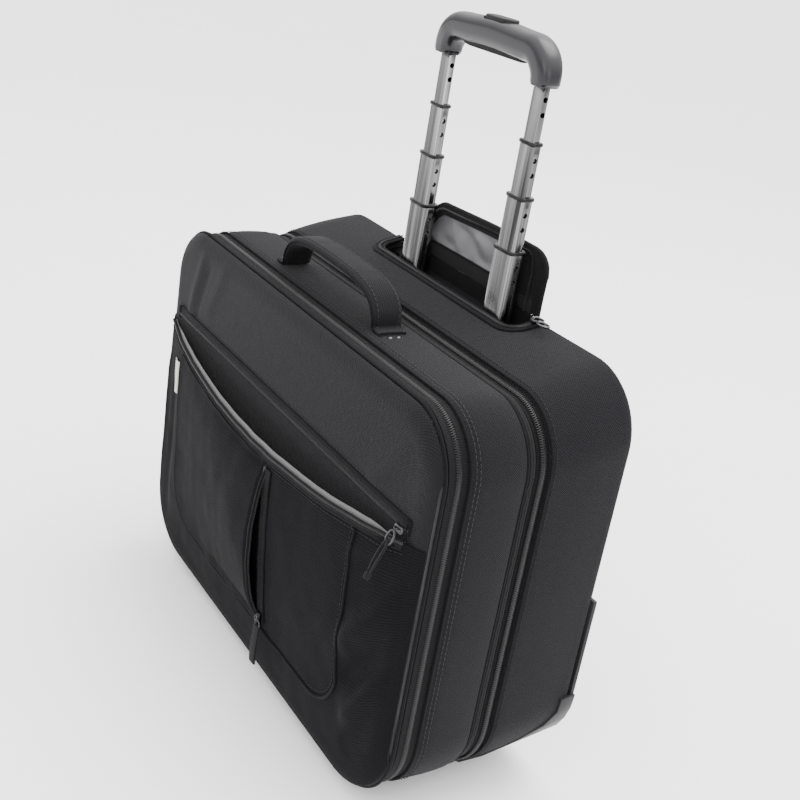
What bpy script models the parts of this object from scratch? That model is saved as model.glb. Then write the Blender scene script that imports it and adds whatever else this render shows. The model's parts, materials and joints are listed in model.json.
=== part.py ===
"""Rolling laptop case: three soft compartments on two wheels, with a telescopic pull handle.

Metres, +Z up, front towards -Y. The origin is on the floor under the middle of the case.
"""

import math

import bmesh
import bpy
from mathutils import Vector

# Driving dimensions
WIDTH = 0.440
HEIGHT = 0.312
CLEARANCE = 0.010
TOP_RADIUS = 0.047
BOTTOM_RADIUS = 0.062
CORNER_STEPS = 7
GAP = 0.0003
FABRIC = 0.0025

# Depth stations, front to back
SEAM_Y = -0.0614
PANEL_DEPTH = 0.008
FRONT_ZIP_Y = SEAM_Y + 0.0122
MIDDLE_Y = SEAM_Y + 0.0203
CHANNEL_Y = SEAM_Y + 0.0672
MAIN_ZIP_Y = SEAM_Y + 0.0808
BACK_Y = SEAM_Y + 0.154

# Heights
BASE = CLEARANCE
FRONT_TOP = BASE + HEIGHT
REAR_BASE = BASE + 0.014
REAR_TOP = BASE + 0.331
REAR_HALF = 0.2215
REAR_RADIUS = 0.052
PANEL_RIM = 0.0125

# Handle well and flap in the rear top
WELL_HALF = 0.100
WELL_FRONT = SEAM_Y + 0.1255
WELL_BACK = SEAM_Y + 0.1515
WELL_FLOOR = BASE + 0.274
FLAP_Y = SEAM_Y + 0.1522
FLAP_HEIGHT = 0.052

# Telescopic handle: outer size across X and Y of each tube, fixed outer tube first
TUBE_X = 0.0623
TUBE_Y = SEAM_Y + 0.1396
TUBE_WALL = 0.0011
TUBE_SIZES = [(0.0274, 0.0184), (0.0240, 0.0156), (0.0206, 0.0128), (0.0172, 0.0100), (0.0140, 0.0072)]
TUBE_TOPS = [BASE + 0.279, BASE + 0.3764, BASE + 0.4173, BASE + 0.4580, BASE + 0.5150]
TUBE_LENGTHS = [0.240, 0.240, 0.240, 0.240, 0.260]
COLLAR_HEIGHT = 0.005
COLLAR_WALL = 0.0009
LOCK_HOLE = 0.002
LOCK_PITCH = 0.011

# Grip
GRIP_HALF = 0.0645
LEG_BOTTOM = BASE + 0.498
BAR_MIDDLE = BASE + 0.5215
GRIP_BEND = 0.017

# Wheels
WHEEL_X = 0.125
WHEEL_RADIUS = 0.025
WHEEL_WIDTH = 0.018
WHEEL_Y = SEAM_Y + 0.131
AXLE_RADIUS = 0.003
HOUSING_WALL = 0.0035
GUARD = 0.003
GUARD_INNER = 0.096
GUARD_TOP = BASE + 0.158
HOUSING_BASE = 0.013

# Front pocket
POCKET_HALF = 0.203
POCKET_BASE = BASE + 0.016
POCKET_EDGE = BASE + 0.222
POCKET_SAG = 0.016
POCKET_BULGE = 0.015
POCKET_SHEET = 0.0018
PANEL_FACE = SEAM_Y - PANEL_DEPTH
ZIP_LINE = BASE + 0.2325
SLIT_X = 0.036

MATERIALS = {
    "nylon": ((0.040, 0.038, 0.043), 0.85, 0.0),
    "trim": ((0.018, 0.018, 0.020), 0.70, 0.0),
    "lining": ((0.300, 0.300, 0.310), 0.60, 0.0),
    "plastic": ((0.120, 0.120, 0.125), 0.50, 0.0),
    "rubber": ((0.030, 0.030, 0.030), 0.80, 0.0),
    "aluminium": ((0.620, 0.620, 0.640), 0.28, 1.0),
    "steel": ((0.500, 0.500, 0.510), 0.35, 1.0),
    "label": ((0.550, 0.550, 0.530), 0.70, 0.0),
}


# Building blocks
def material(name):
    """The Principled material of that name, made once."""
    found = bpy.data.materials.get(name)
    if found:
        return found
    color, roughness, metallic = MATERIALS[name]
    made = bpy.data.materials.new(name)
    made.use_nodes = True
    shader = made.node_tree.nodes["Principled BSDF"]
    shader.inputs["Base Color"].default_value = (*color, 1.0)
    shader.inputs["Roughness"].default_value = roughness
    shader.inputs["Metallic"].default_value = metallic
    return made


def finish(name, mesh, finish_name, origin=(0, 0, 0)):
    """Turns a bmesh in world coordinates into an object whose origin is at the given point."""
    bmesh.ops.recalc_face_normals(mesh, faces=mesh.faces)
    bmesh.ops.translate(mesh, vec=-Vector(origin), verts=mesh.verts)
    data = bpy.data.meshes.new(name)
    mesh.to_mesh(data)
    mesh.free()
    data.shade_smooth()
    data.set_sharp_from_angle(angle=math.radians(35))
    item = bpy.data.objects.new(name, data)
    item.location = origin
    item.data.materials.append(material(finish_name))
    bpy.context.scene.collection.objects.link(item)
    return item


def skin(loops, closed=False):
    """Joins loops of equal length one to the next. An open run is capped at both ends."""
    mesh = bmesh.new()
    rows = [[mesh.verts.new(p) for p in loop] for loop in loops]
    pairs = list(zip(rows, rows[1:]))
    if closed:
        pairs.append((rows[-1], rows[0]))
    for low, high in pairs:
        for i in range(len(low)):
            j = (i + 1) % len(low)
            mesh.faces.new((low[i], low[j], high[j], high[i]))
    if not closed:
        mesh.faces.new(rows[0])
        mesh.faces.new(rows[-1])
    return mesh


def block(low, high, bevel=0.0):
    """A box from its lowest to its highest corner, with bevelled edges if asked."""
    mesh = bmesh.new()
    bmesh.ops.create_cube(mesh, size=1.0)
    size = Vector(high) - Vector(low)
    middle = (Vector(high) + Vector(low)) / 2
    for v in mesh.verts:
        v.co = Vector(v.co[i] * size[i] for i in range(3)) + middle
    if bevel:
        bmesh.ops.bevel(mesh, geom=mesh.edges[:], offset=bevel, segments=2, affect="EDGES", profile=0.5)
    return mesh


def arc(cx, cz, radius, start, end, steps):
    """Points of an arc in degrees, both ends included."""
    points = []
    for i in range(steps + 1):
        a = math.radians(start + (end - start) * i / steps)
        points.append((cx + radius * math.cos(a), cz + radius * math.sin(a)))
    return points


def rounded(half, low, high, top, bottom, steps=CORNER_STEPS):
    """A rounded rectangle's points, counter-clockwise from its right side."""
    points = arc(half - top, high - top, top, 0, 90, steps)
    points += arc(-half + top, high - top, top, 90, 180, steps)
    points += arc(-half + bottom, low + bottom, bottom, 180, 270, steps)
    points += arc(half - bottom, low + bottom, bottom, 270, 360, steps)
    return points


def rise(y):
    """How far depth y lies between the main zip, 0, and the back face, 1."""
    return min(max((y - MAIN_ZIP_Y) / (BACK_Y - MAIN_ZIP_Y), 0.0), 1.0)


def between(first, last, share):
    return first + (last - first) * share


def rear_top(y):
    """Height of the rear compartment's top, which climbs towards the back."""
    return between(FRONT_TOP, REAR_TOP, rise(y))


def section(inset, y):
    """The case's outline at depth y, drawn in by inset. Behind the main zip it climbs a little."""
    share = rise(y)
    half = between(WIDTH / 2, REAR_HALF, share) - inset
    low = between(BASE, REAR_BASE, share) + inset
    top = between(TOP_RADIUS, REAR_RADIUS, share) - inset
    outline = rounded(half, low, rear_top(y) - inset, top, BOTTOM_RADIUS - inset)
    return [(x, y, z) for x, z in outline]


def slab(outline, low, high, axis):
    """An outline in the two other axes, extruded along the named axis."""
    place = {
        "X": lambda a, b, t: (t, a, b),
        "Y": lambda a, b, t: (a, t, b),
        "Z": lambda a, b, t: (a, b, t),
    }[axis]
    return skin([[place(a, b, low) for a, b in outline], [place(a, b, high) for a, b in outline]])


def turned(profile, cx, cy, cz, steps=24, closed=True):
    """A ring turned about an axis along X. The profile holds (x, radius) pairs."""
    loops = []
    for x, radius in profile:
        ring = []
        for i in range(steps):
            a = 2 * math.pi * i / steps
            ring.append((cx + x, cy + radius * math.cos(a), cz + radius * math.sin(a)))
        loops.append(ring)
    return skin(loops, closed)


def cut(target, mesh, name, operation="DIFFERENCE"):
    """Takes a cutter's volume out of the target, or joins or keeps it, with an exact Boolean."""
    cutter = finish(name, mesh, "trim")
    cutter.hide_render = True
    cutter.display_type = "WIRE"
    change = target.modifiers.new(name, "BOOLEAN")
    change.operation = operation
    change.solver = "EXACT"
    change.object = cutter


# Rear compartment
def rear_walls():
    """The rear compartment's walls in one solid, open towards the main zip."""
    return skin([
        section(0.011, BACK_Y),
        section(0.003, BACK_Y - 0.003),
        section(0.0, BACK_Y - 0.011),
        section(0.0, MAIN_ZIP_Y + 0.0005),
        section(FABRIC, MAIN_ZIP_Y + 0.0005),
        section(FABRIC, BACK_Y - 0.012),
        section(0.012, BACK_Y - FABRIC),
    ])


def back_region(grow):
    """The part of the rear walls that is the back panel: all but a rim, with a tab up behind the well."""
    inset = PANEL_RIM - grow
    corners = REAR_RADIUS - inset, BOTTOM_RADIUS - inset
    outline = rounded(REAR_HALF - inset, REAR_BASE + inset, REAR_TOP - inset, *corners)
    half = WELL_HALF - 2 * GAP + grow
    tab = [(half, REAR_TOP - inset), (half, REAR_TOP + 0.01), (-half, REAR_TOP + 0.01), (-half, REAR_TOP - inset)]
    first = CORNER_STEPS + 1
    return slab(outline[:first] + tab + outline[first:], WELL_BACK - 0.001, BACK_Y + 0.01, "Y")


def hatch_hole():
    """What the handle well takes out of the sloping top."""
    hatch = rounded(WELL_HALF, WELL_FRONT, WELL_BACK, 0.011, 0.011, 4)
    return slab(hatch, REAR_TOP - 0.02, REAR_TOP + 0.01, "Z")


def build_rear():
    shell = finish("rear_shell", rear_walls(), "nylon")
    cut(shell, back_region(GAP), "rim_cutter")
    cut(shell, hatch_hole(), "hatch_cutter")
    panel = finish("back_panel", rear_walls(), "nylon")
    cut(panel, back_region(0.0), "back_keeper", "INTERSECT")
    cut(panel, hatch_hole(), "tab_cutter")
    for side, sign in (("left", -1), ("right", 1)):
        low, high = housing_box(sign, GAP)
        for wall in (shell, panel):
            recess = block((low[0], low[1], 0.0), (high[0], BACK_Y + 0.01, high[2]))
            cut(wall, recess, f"recess_cutter_{wall.name}_{side}")
    board = rounded(REAR_HALF - 0.030, REAR_BASE + 0.052, REAR_TOP - 0.038, 0.030, 0.030, 4)
    finish("back_board", slab(board, BACK_Y - 0.0045, BACK_Y - 0.0030, "Y"), "plastic")
    wall = 0.0015
    outer = WELL_HALF + 0.0025
    front = WELL_FRONT - 0.003
    back = BACK_Y - 0.0048
    inner = outer - wall
    finish("channel_liner", slab([
        (-outer, back), (-outer, front), (outer, front), (outer, back),
        (inner, back), (inner, front + wall), (-inner, front + wall), (-inner, back),
    ], REAR_BASE + 0.0105, REAR_TOP - 0.0135, "Z"), "lining")
    plate = finish("well_plate", block(
        (-inner + GAP, front + wall + GAP, WELL_FLOOR - 0.006),
        (inner - GAP, back - GAP, WELL_FLOOR)), "plastic")
    for side, sign in (("left", -1), ("right", 1)):
        hole = tube_outline(sign, 0, GAP)
        cut(plate, slab(hole, WELL_FLOOR - 0.01, WELL_FLOOR + 0.01, "Z"), f"plate_cutter_{side}")
    foot = TUBE_TOPS[0] - TUBE_LENGTHS[0]
    finish("tube_bracket", block(
        (-0.085, TUBE_Y - 0.0095, foot - 0.0125), (0.085, TUBE_Y + 0.0094, foot - GAP), 0.001), "plastic")
    build_hatch_zip()


def lean(mesh):
    """Lays a mesh that is modelled at height 0 on the rear compartment's sloping top."""
    for v in mesh.verts:
        v.co.z += rear_top(v.co.y)
    return mesh


def build_hatch_zip():
    """The zip tape round the front and the ends of the handle well."""
    wide = 0.0065
    outer = rounded(WELL_HALF + wide, WELL_FRONT - wide, WELL_BACK - 0.001, 0.0001, 0.0175, 5)
    inner = rounded(WELL_HALF + 0.001, WELL_FRONT - 0.001, WELL_BACK - 0.001, 0.0001, 0.012, 5)
    first = 2 * 6 - 1
    half = [p for p in outer[first:]]
    rest = [p for p in inner[first:]]
    outline = half + [outer[0]] + [inner[0]] + rest[::-1]
    finish("hatch_zip", lean(slab(outline, GAP, 0.0018, "Z")), "trim")


def housing_box(sign, grow=0.0):
    """The wheel housing's lowest and highest corner, on the side that sign names."""
    inner = WHEEL_X - WHEEL_WIDTH / 2 - 0.0025 - HOUSING_WALL - grow
    outer = WHEEL_X + WHEEL_WIDTH / 2 + 0.0025 + HOUSING_WALL + grow
    xs = sorted((sign * inner, sign * outer))
    front = WHEEL_Y - WHEEL_RADIUS - 0.003 - HOUSING_WALL - grow
    top = 2 * WHEEL_RADIUS + 0.003 + HOUSING_WALL + grow
    return (xs[0], front, HOUSING_BASE), (xs[1], BACK_Y + GAP + GUARD, top)


def guard_path(offset, sign, y=BACK_Y):
    """The rear outline's lower corner: along the bottom, round the corner and up the side."""
    half = between(WIDTH / 2, REAR_HALF, rise(y)) + offset
    low = between(BASE, REAR_BASE, rise(y)) - offset
    radius = BOTTOM_RADIUS + offset
    points = [(GUARD_INNER, low)]
    points += arc(half - radius, low + radius, radius, 270, 360, 8)
    points.append((half, GUARD_TOP))
    return [(sign * x, z) for x, z in points]


def build_housing(side, sign):
    """Corner guard and wheel housing, moulded as one piece."""
    fronts = [MAIN_ZIP_Y + 0.004] * 5 + [MAIN_ZIP_Y + 0.016, MAIN_ZIP_Y + 0.036, BACK_Y - 0.016]
    fronts += [BACK_Y - 0.009] * (10 - len(fronts))
    back = BACK_Y + GAP + GUARD
    loops = []
    for i, front in enumerate(fronts):
        points = [guard_path(offset, sign, y)[i] for offset, y in
                  ((GUARD, front), (GUARD, back), (GAP, back), (GAP, front))]
        loops.append([(x, y, z) for (x, z), y in zip(points, (front, back, back, front))])
    item = finish(f"wheel_housing_{side}", skin(loops), "plastic")
    corner = guard_path(0.001, sign)
    shoulder = [(sign * 0.190, GUARD_TOP), (sign * 0.150, GUARD_TOP - 0.038)]
    plate = [(corner[0][0], GUARD_TOP - 0.098)] + corner + shoulder
    cut(item, slab(plate, BACK_Y + GAP, back, "Y"), f"guard_plate_{side}", "UNION")
    low, high = housing_box(sign)
    cut(item, block(low, (high[0], back - 0.0001, high[2])), f"housing_block_{side}", "UNION")
    inner_x = WHEEL_X - WHEEL_WIDTH / 2 - 0.0025
    outer_x = WHEEL_X + WHEEL_WIDTH / 2 + 0.0025
    xs = sorted((sign * inner_x, sign * outer_x))
    cut(item, block(
        (xs[0], WHEEL_Y - WHEEL_RADIUS - 0.003, -0.01),
        (xs[1], back + 0.01, 2 * WHEEL_RADIUS + 0.003)), f"wheel_cutter_{side}")
    reach = WHEEL_WIDTH / 2 + 0.02
    bore = AXLE_RADIUS + GAP
    cut(item, turned([(-reach, bore), (reach, bore)], sign * WHEEL_X, WHEEL_Y, WHEEL_RADIUS, 16, False),
        f"bore_cutter_{side}")
    return item


def build_wheel(side, sign):
    """Axle, hub and tyre. The hub and the tyre turn about the axle."""
    centre = (sign * WHEEL_X, WHEEL_Y, WHEEL_RADIUS)
    reach = WHEEL_WIDTH / 2 + 0.0055
    finish(f"axle_{side}", turned([(-reach, AXLE_RADIUS), (reach, AXLE_RADIUS)], *centre, 16, False),
           "steel", centre)
    half = WHEEL_WIDTH / 2
    bore = AXLE_RADIUS + GAP
    rim = 0.0165
    finish(f"hub_{side}", turned([
        (-half, bore), (-half, 0.0065), (-half + 0.003, 0.0075), (-half + 0.003, 0.0135), (-half + 0.001, rim),
        (half - 0.001, rim), (half - 0.003, 0.0135), (half - 0.003, 0.0075), (half, 0.0065), (half, bore),
    ], *centre), "plastic", centre)
    inside = rim + GAP
    crown = WHEEL_RADIUS
    finish(f"tyre_{side}", turned([
        (-half + 0.001, inside), (-half + 0.0008, crown - 0.004), (-half + 0.0035, crown - 0.0008),
        (-0.004, crown), (0.004, crown), (half - 0.0035, crown - 0.0008), (half - 0.0008, crown - 0.004),
        (half - 0.001, inside),
    ], *centre, 32), "rubber", centre)


# Telescopic handle
def tube_outline(sign, stage, grow):
    """A tube's outline in X and Y, grown by the given amount all round."""
    width, depth = TUBE_SIZES[stage]
    half, deep = width / 2 + grow, depth / 2 + grow
    radius = 0.0034 + grow
    outline = rounded(half, -deep, deep, radius, radius, 3)
    return [(sign * TUBE_X + x, TUBE_Y + y) for x, y in outline]


def ring(outer, inner, low, high):
    """A tube between two outlines of equal length."""
    return skin([
        [(x, y, low) for x, y in outer], [(x, y, high) for x, y in outer],
        [(x, y, high) for x, y in inner], [(x, y, low) for x, y in inner],
    ], True)


def build_tube(side, sign, stage):
    """One drawn aluminium tube with its row of lock holes, and its collar if it slides."""
    top = TUBE_TOPS[stage]
    names = ["outer_tube", "stage_four_tube", "stage_three_tube", "stage_two_tube", "stage_one_tube"]
    tube = finish(f"{names[stage]}_{side}", ring(
        tube_outline(sign, stage, 0), tube_outline(sign, stage, -TUBE_WALL),
        top - TUBE_LENGTHS[stage], top), "aluminium", (sign * TUBE_X, TUBE_Y, top))
    if stage == 0:
        return
    first = top - 0.013 if stage < 4 else LEG_BOTTOM - 0.009
    for hole in range(2):
        z = first - hole * LOCK_PITCH
        x = sign * TUBE_X + TUBE_SIZES[stage][0] / 2
        cut(tube, turned([(-0.002, LOCK_HOLE), (0.002, LOCK_HOLE)], x, TUBE_Y, z, 10, False),
            f"hole_cutter_{stage}_{hole}_{side}")
    if stage == 4:
        return
    collar = names[stage].replace("tube", "collar")
    finish(f"{collar}_{side}", ring(
        tube_outline(sign, stage, GAP / 2 + COLLAR_WALL), tube_outline(sign, stage, GAP / 2),
        top - COLLAR_HEIGHT, top), "plastic", (sign * TUBE_X, TUBE_Y, top))


def grip_section(centre, across, half_across, half_deep, count=14):
    """An oval section of the grip. across is the direction in the XZ plane that it spans."""
    points = []
    for i in range(count):
        a = 2 * math.pi * i / count
        side = half_across * math.copysign(abs(math.cos(a)) ** 0.75, math.cos(a))
        deep = half_deep * math.copysign(abs(math.sin(a)) ** 0.75, math.sin(a))
        points.append((centre[0] + across[0] * side, TUBE_Y + deep, centre[1] + across[1] * side))
    return points


def grip_path():
    """Centre line stations of the grip: (x, z), the direction across it, and half its thickness."""
    stations = []
    for sign in (-1, 1):
        leg = [((sign * GRIP_HALF, LEG_BOTTOM), (sign, 0.0), 0.0098),
               ((sign * GRIP_HALF, BAR_MIDDLE - GRIP_BEND), (sign, 0.0), 0.0102)]
        for i in (1, 2, 3):
            a = math.radians(90 * i / 4)
            x = GRIP_HALF - GRIP_BEND * (1 - math.cos(a))
            z = BAR_MIDDLE - GRIP_BEND * (1 - math.sin(a))
            leg.append(((sign * x, z), (sign * math.cos(a), math.sin(a)), 0.0104))
        leg.append(((sign * (GRIP_HALF - GRIP_BEND), BAR_MIDDLE), (0.0, 1.0), 0.0106))
        leg.append(((sign * 0.025, BAR_MIDDLE + 0.0012), (0.0, 1.0), 0.0112))
        stations.append(leg)
    return stations[0] + [((0.0, BAR_MIDDLE + 0.0016), (0.0, 1.0), 0.0114)] + stations[1][::-1]


def build_grip():
    """Moulded grip, its soft insert, the release button and the yoke that the button pushes."""
    centre = (0, TUBE_Y, BAR_MIDDLE)
    grip = finish("grip", skin([grip_section(c, a, h, 0.0115) for c, a, h in grip_path()]), "plastic", centre)
    for side, sign in (("left", -1), ("right", 1)):
        cut(grip, slab(tube_outline(sign, 4, GAP), LEG_BOTTOM - 0.005, TUBE_TOPS[4] + 0.0005, "Z"),
            f"socket_cutter_{side}")
    slot = TUBE_X + 0.0035
    cut(grip, block((-slot, TUBE_Y - 0.0032, TUBE_TOPS[4] - 0.0005), (slot, TUBE_Y + 0.0032, BAR_MIDDLE + 0.004)),
        "yoke_cutter")
    mouth = rounded(0.0175, TUBE_Y - 0.0078, TUBE_Y + 0.0078, 0.0076, 0.0076, 4)
    cut(grip, slab(mouth, BAR_MIDDLE + 0.0035, BAR_MIDDLE + 0.03, "Z"), "button_cutter")
    cap = rounded(0.0170, TUBE_Y - 0.0073, TUBE_Y + 0.0073, 0.0071, 0.0071, 4)
    crown = rounded(0.0155, TUBE_Y - 0.0058, TUBE_Y + 0.0058, 0.0056, 0.0056, 4)
    finish("release_button", skin([
        [(x, y, BAR_MIDDLE + 0.0075) for x, y in cap],
        [(x, y, BAR_MIDDLE + 0.0150) for x, y in cap],
        [(x, y, BAR_MIDDLE + 0.0165) for x, y in crown],
    ]), "plastic", (0, TUBE_Y, BAR_MIDDLE + 0.015))
    rod = 0.0015
    foot = TUBE_TOPS[4] - TUBE_LENGTHS[4] + 0.006
    low, high = BAR_MIDDLE - 0.0020, BAR_MIDDLE + 0.0015
    finish("release_yoke", slab([
        (-TUBE_X - rod, foot), (-TUBE_X + rod, foot), (-TUBE_X + rod, low), (TUBE_X - rod, low),
        (TUBE_X - rod, foot), (TUBE_X + rod, foot), (TUBE_X + rod, high), (0.006, high),
        (0.006, BAR_MIDDLE + 0.0075 - GAP), (-0.006, BAR_MIDDLE + 0.0075 - GAP), (-0.006, high),
        (-TUBE_X - rod, high),
    ], TUBE_Y - rod, TUBE_Y + rod, "Y"), "steel", (0, TUBE_Y, BAR_MIDDLE))
    under = BAR_MIDDLE - 0.0116
    finish("grip_insert", block(
        (-0.038, TUBE_Y - 0.0075, under - 0.0022), (0.038, TUBE_Y + 0.0075, under), 0.0008), "rubber", centre)


# Middle compartment
def build_middle():
    finish("middle_shell", skin([
        section(0.0, MIDDLE_Y + 0.001), section(0.0, CHANNEL_Y - GAP),
        section(FABRIC, CHANNEL_Y - GAP), section(FABRIC, MIDDLE_Y + 0.001),
    ], True), "nylon")
    finish("main_zip", skin([
        section(0.003, CHANNEL_Y), section(0.003, MAIN_ZIP_Y - 0.0002),
        section(0.005, MAIN_ZIP_Y - 0.0002), section(0.005, CHANNEL_Y),
    ], True), "trim")
    finish("front_zip", skin([
        section(0.0012, FRONT_ZIP_Y + 0.0004), section(0.0012, MIDDLE_Y + 0.0007),
        section(0.0032, MIDDLE_Y + 0.0007), section(0.0032, FRONT_ZIP_Y + 0.0004),
    ], True), "trim")
    inside = FABRIC + GAP
    divider_y = (MIDDLE_Y + CHANNEL_Y) / 2
    finish("file_divider", skin([section(inside, divider_y - 0.003), section(inside, divider_y + 0.003)]), "lining")
    for side, sign in (("left", -1), ("right", 1)):
        xs = sorted((sign * 0.112, sign * 0.140))
        finish(f"front_foot_{side}", block(
            (xs[0], MIDDLE_Y + 0.006, 0.0), (xs[1], MIDDLE_Y + 0.034, BASE - GAP), 0.002), "rubber")
    build_carry_handle()


def build_carry_handle():
    """A padded strap sewn down at both ends, arched over a finger gap."""
    start, end, top = -0.098, 0.068, FRONT_TOP + GAP
    rise = 0.0265
    half_wide, thick = 0.0115, 0.0055
    middle_y = (MIDDLE_Y + CHANNEL_Y) / 2 - 0.002
    centre_line = [(start, top)] + [(start + 0.014, top), (start + 0.024, top + 0.012), (start + 0.036, top + rise - 0.004)]
    centre_line += [(start + 0.052, top + rise), (end - 0.052, top + rise), (end - 0.036, top + rise - 0.004)]
    centre_line += [(end - 0.024, top + 0.012), (end - 0.014, top), (end, top)]
    loops = []
    for i, (x, z) in enumerate(centre_line):
        before = Vector(centre_line[max(i - 1, 0)])
        after = Vector(centre_line[min(i + 1, len(centre_line) - 1)])
        along = (after - before).normalized()
        up = Vector((-along.y, along.x)) if along.x > 0 else Vector((0, 1))
        if i in (0, 1, len(centre_line) - 2, len(centre_line) - 1):
            up = Vector((0, 1))
        raised = Vector((x, z)) + up * thick
        loops.append([
            (x, middle_y - half_wide, z), (x, middle_y + half_wide, z),
            (raised.x, middle_y + half_wide, raised.y), (raised.x, middle_y - half_wide, raised.y),
        ])
    finish("carry_handle", skin(loops), "nylon")


# Front lid
def pocket_face(x, z):
    """Depth of the front pocket's outer face: flat at its sewn edges, full near its mouth."""
    across = max(0.0, 1 - (x / POCKET_HALF) ** 2)
    t = (z - POCKET_BASE) / (POCKET_EDGE - POCKET_BASE)
    up = math.sin(min(max(t, 0.0), 1.0) * math.pi * 0.62) ** 1.1 if t > 0 else 0.0
    return PANEL_FACE - GAP - POCKET_SHEET - POCKET_BULGE * across ** 0.8 * up


def pocket_top(x):
    """Height of the pocket's sagging free edge."""
    return POCKET_EDGE - POCKET_SAG * (1 - (x / POCKET_HALF) ** 2)


def sheet(xs, bottom, top, face, thick, rows):
    """A curved sheet of even thickness. bottom and top give its edges' heights along xs."""
    mesh = bmesh.new()
    sides = []
    for back in (0.0, thick):
        grid = []
        for x in xs:
            low, high = bottom(x), top(x)
            heights = [low + (high - low) * j / rows for j in range(rows + 1)]
            grid.append([mesh.verts.new((x, face(x, z) + back, z)) for z in heights])
        sides.append(grid)
    front, rear = sides
    last, end = len(xs) - 1, rows
    for i in range(last):
        for j in range(rows):
            mesh.faces.new((front[i][j], front[i + 1][j], front[i + 1][j + 1], front[i][j + 1]))
            mesh.faces.new((rear[i][j + 1], rear[i + 1][j + 1], rear[i + 1][j], rear[i][j]))
        mesh.faces.new((front[i][0], rear[i][0], rear[i + 1][0], front[i + 1][0]))
        mesh.faces.new((front[i + 1][end], rear[i + 1][end], rear[i][end], front[i][end]))
    for j in range(rows):
        mesh.faces.new((front[0][j + 1], rear[0][j + 1], rear[0][j], front[0][j]))
        mesh.faces.new((front[last][j], rear[last][j], rear[last][j + 1], front[last][j + 1]))
    return mesh


def pocket_bottom(x):
    """The pocket's lower edge, which rounds the panel's bottom corners."""
    radius = BOTTOM_RADIUS - 0.016
    reach = abs(x) - (POCKET_HALF - radius)
    if reach <= 0:
        return POCKET_BASE
    return POCKET_BASE + radius - math.sqrt(max(radius ** 2 - reach ** 2, 0.0))


def even(low, high, count):
    return [low + (high - low) * i / count for i in range(count + 1)]


def build_front():
    finish("front_panel", skin([
        section(0.016, PANEL_FACE), section(0.005, PANEL_FACE + 0.0022), section(0.0, SEAM_Y),
        section(0.0012, FRONT_ZIP_Y - 0.0004), section(0.0037, FRONT_ZIP_Y - 0.0004),
        section(FABRIC, SEAM_Y + 0.001), section(0.016, PANEL_FACE + FABRIC),
    ]), "nylon")
    columns = [POCKET_HALF * math.sin(math.pi / 2 * i / 12) for i in range(-12, 13)]
    finish("front_pocket", sheet(
        columns, pocket_bottom, pocket_top, pocket_face, POCKET_SHEET, 8), "nylon")
    left, right = -0.150, SLIT_X
    puff = 0.0095

    def quick_face(x, z):
        across = (x - left) / (right - left)
        t = (z - BASE - 0.056) / 0.132
        lift = puff * math.sin(math.pi * min(max(t, 0.0), 1.0)) ** 0.6 * min(across * 1.6, 1.0)
        return pocket_face(x, z) - GAP - 0.0015 - lift

    finish("quick_pocket", sheet(
        even(left, right, 8), lambda x: BASE + 0.056, lambda x: min(pocket_top(x) - 0.004, BASE + 0.198),
        quick_face, 0.0015, 7), "nylon")
    finish("pocket_zip", block(
        (-0.196, PANEL_FACE - 0.0020, ZIP_LINE - 0.0035), (0.204, PANEL_FACE - GAP, ZIP_LINE + 0.0035)), "trim")
    label_face = min(pocket_face(-0.183, BASE + 0.20), pocket_face(-0.169, BASE + 0.17)) - GAP
    finish("name_label", block(
        (-0.183, label_face - 0.0010, BASE + 0.168), (-0.171, label_face, BASE + 0.198)), "label")


# Zip sliders and their pulls
def build_slider(name, origin, normal, along, tall=0.0030):
    """A slider of 9 by 6.5 mm that stands on its tape, with its track along the given axis."""
    size = [0.0, 0.0, 0.0]
    axes = "XYZ"
    face, track = axes.index(normal[-1]), axes.index(along)
    other = 3 - face - track
    size[face], size[track], size[other] = tall, 0.0090, 0.0065
    half = Vector(size) / 2
    centre = Vector(origin)
    centre[face] += (tall / 2 + GAP) * (-1 if normal[0] == "-" else 1)
    finish(f"{name}_slider", block(centre - half, centre + half, 0.0008), "steel", origin)


def build_pull(name, pivot, low, high, finish_name="steel"):
    """A flat pull tab between two corners, its origin on its hinge."""
    finish(f"{name}_pull", block(low, high, 0.0004), finish_name, pivot)


POCKET_SLIDER = (0.200, PANEL_FACE - 0.0020, ZIP_LINE)
QUICK_SLIDER = (SLIT_X + 0.006, PANEL_FACE - 0.0115, BASE + 0.064)
HATCH_SLIDER = (WELL_HALF + 0.0038, WELL_BACK - 0.007, rear_top(WELL_BACK - 0.0025) + 0.0018)
MAIN_SLIDER = (-WIDTH / 2 + 0.003, (CHANNEL_Y + MAIN_ZIP_Y) / 2, BASE + 0.110)
FRONT_SLIDER = (-WIDTH / 2 + 0.0012, FRONT_ZIP_Y + 0.0042, BASE + 0.110)


def build_zips():
    x, y, z = POCKET_SLIDER
    build_slider("pocket", POCKET_SLIDER, "-Y", "X", 0.0070)
    build_pull("pocket", (x, y - 0.0083, z - 0.0015),
               (x - 0.0030, y - 0.0091, z - 0.044), (x + 0.0030, y - 0.0075, z - 0.0010), "nylon")
    x, y, z = QUICK_SLIDER
    build_slider("quick", QUICK_SLIDER, "-Y", "Z")
    build_pull("quick", (x, y - 0.0043, z - 0.0015),
               (x - 0.0045, y - 0.0051, z - 0.032), (x + 0.0045, y - 0.0035, z - 0.0010), "nylon")
    x, y, z = HATCH_SLIDER
    build_slider("hatch", HATCH_SLIDER, "+Z", "Y")
    build_pull("hatch", (x, y - 0.0015, z + 0.0043),
               (x - 0.0040, y - 0.024, z + 0.0035), (x + 0.0040, y - 0.0010, z + 0.0051))
    for name, place in (("main", MAIN_SLIDER), ("front", FRONT_SLIDER)):
        x, y, z = place
        build_slider(name, place, "-X", "Z")
        build_pull(name, (x - 0.0043, y, z - 0.0015),
                   (x - 0.0051, y - 0.0030, z - 0.034), (x - 0.0035, y + 0.0030, z - 0.0010))


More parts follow.
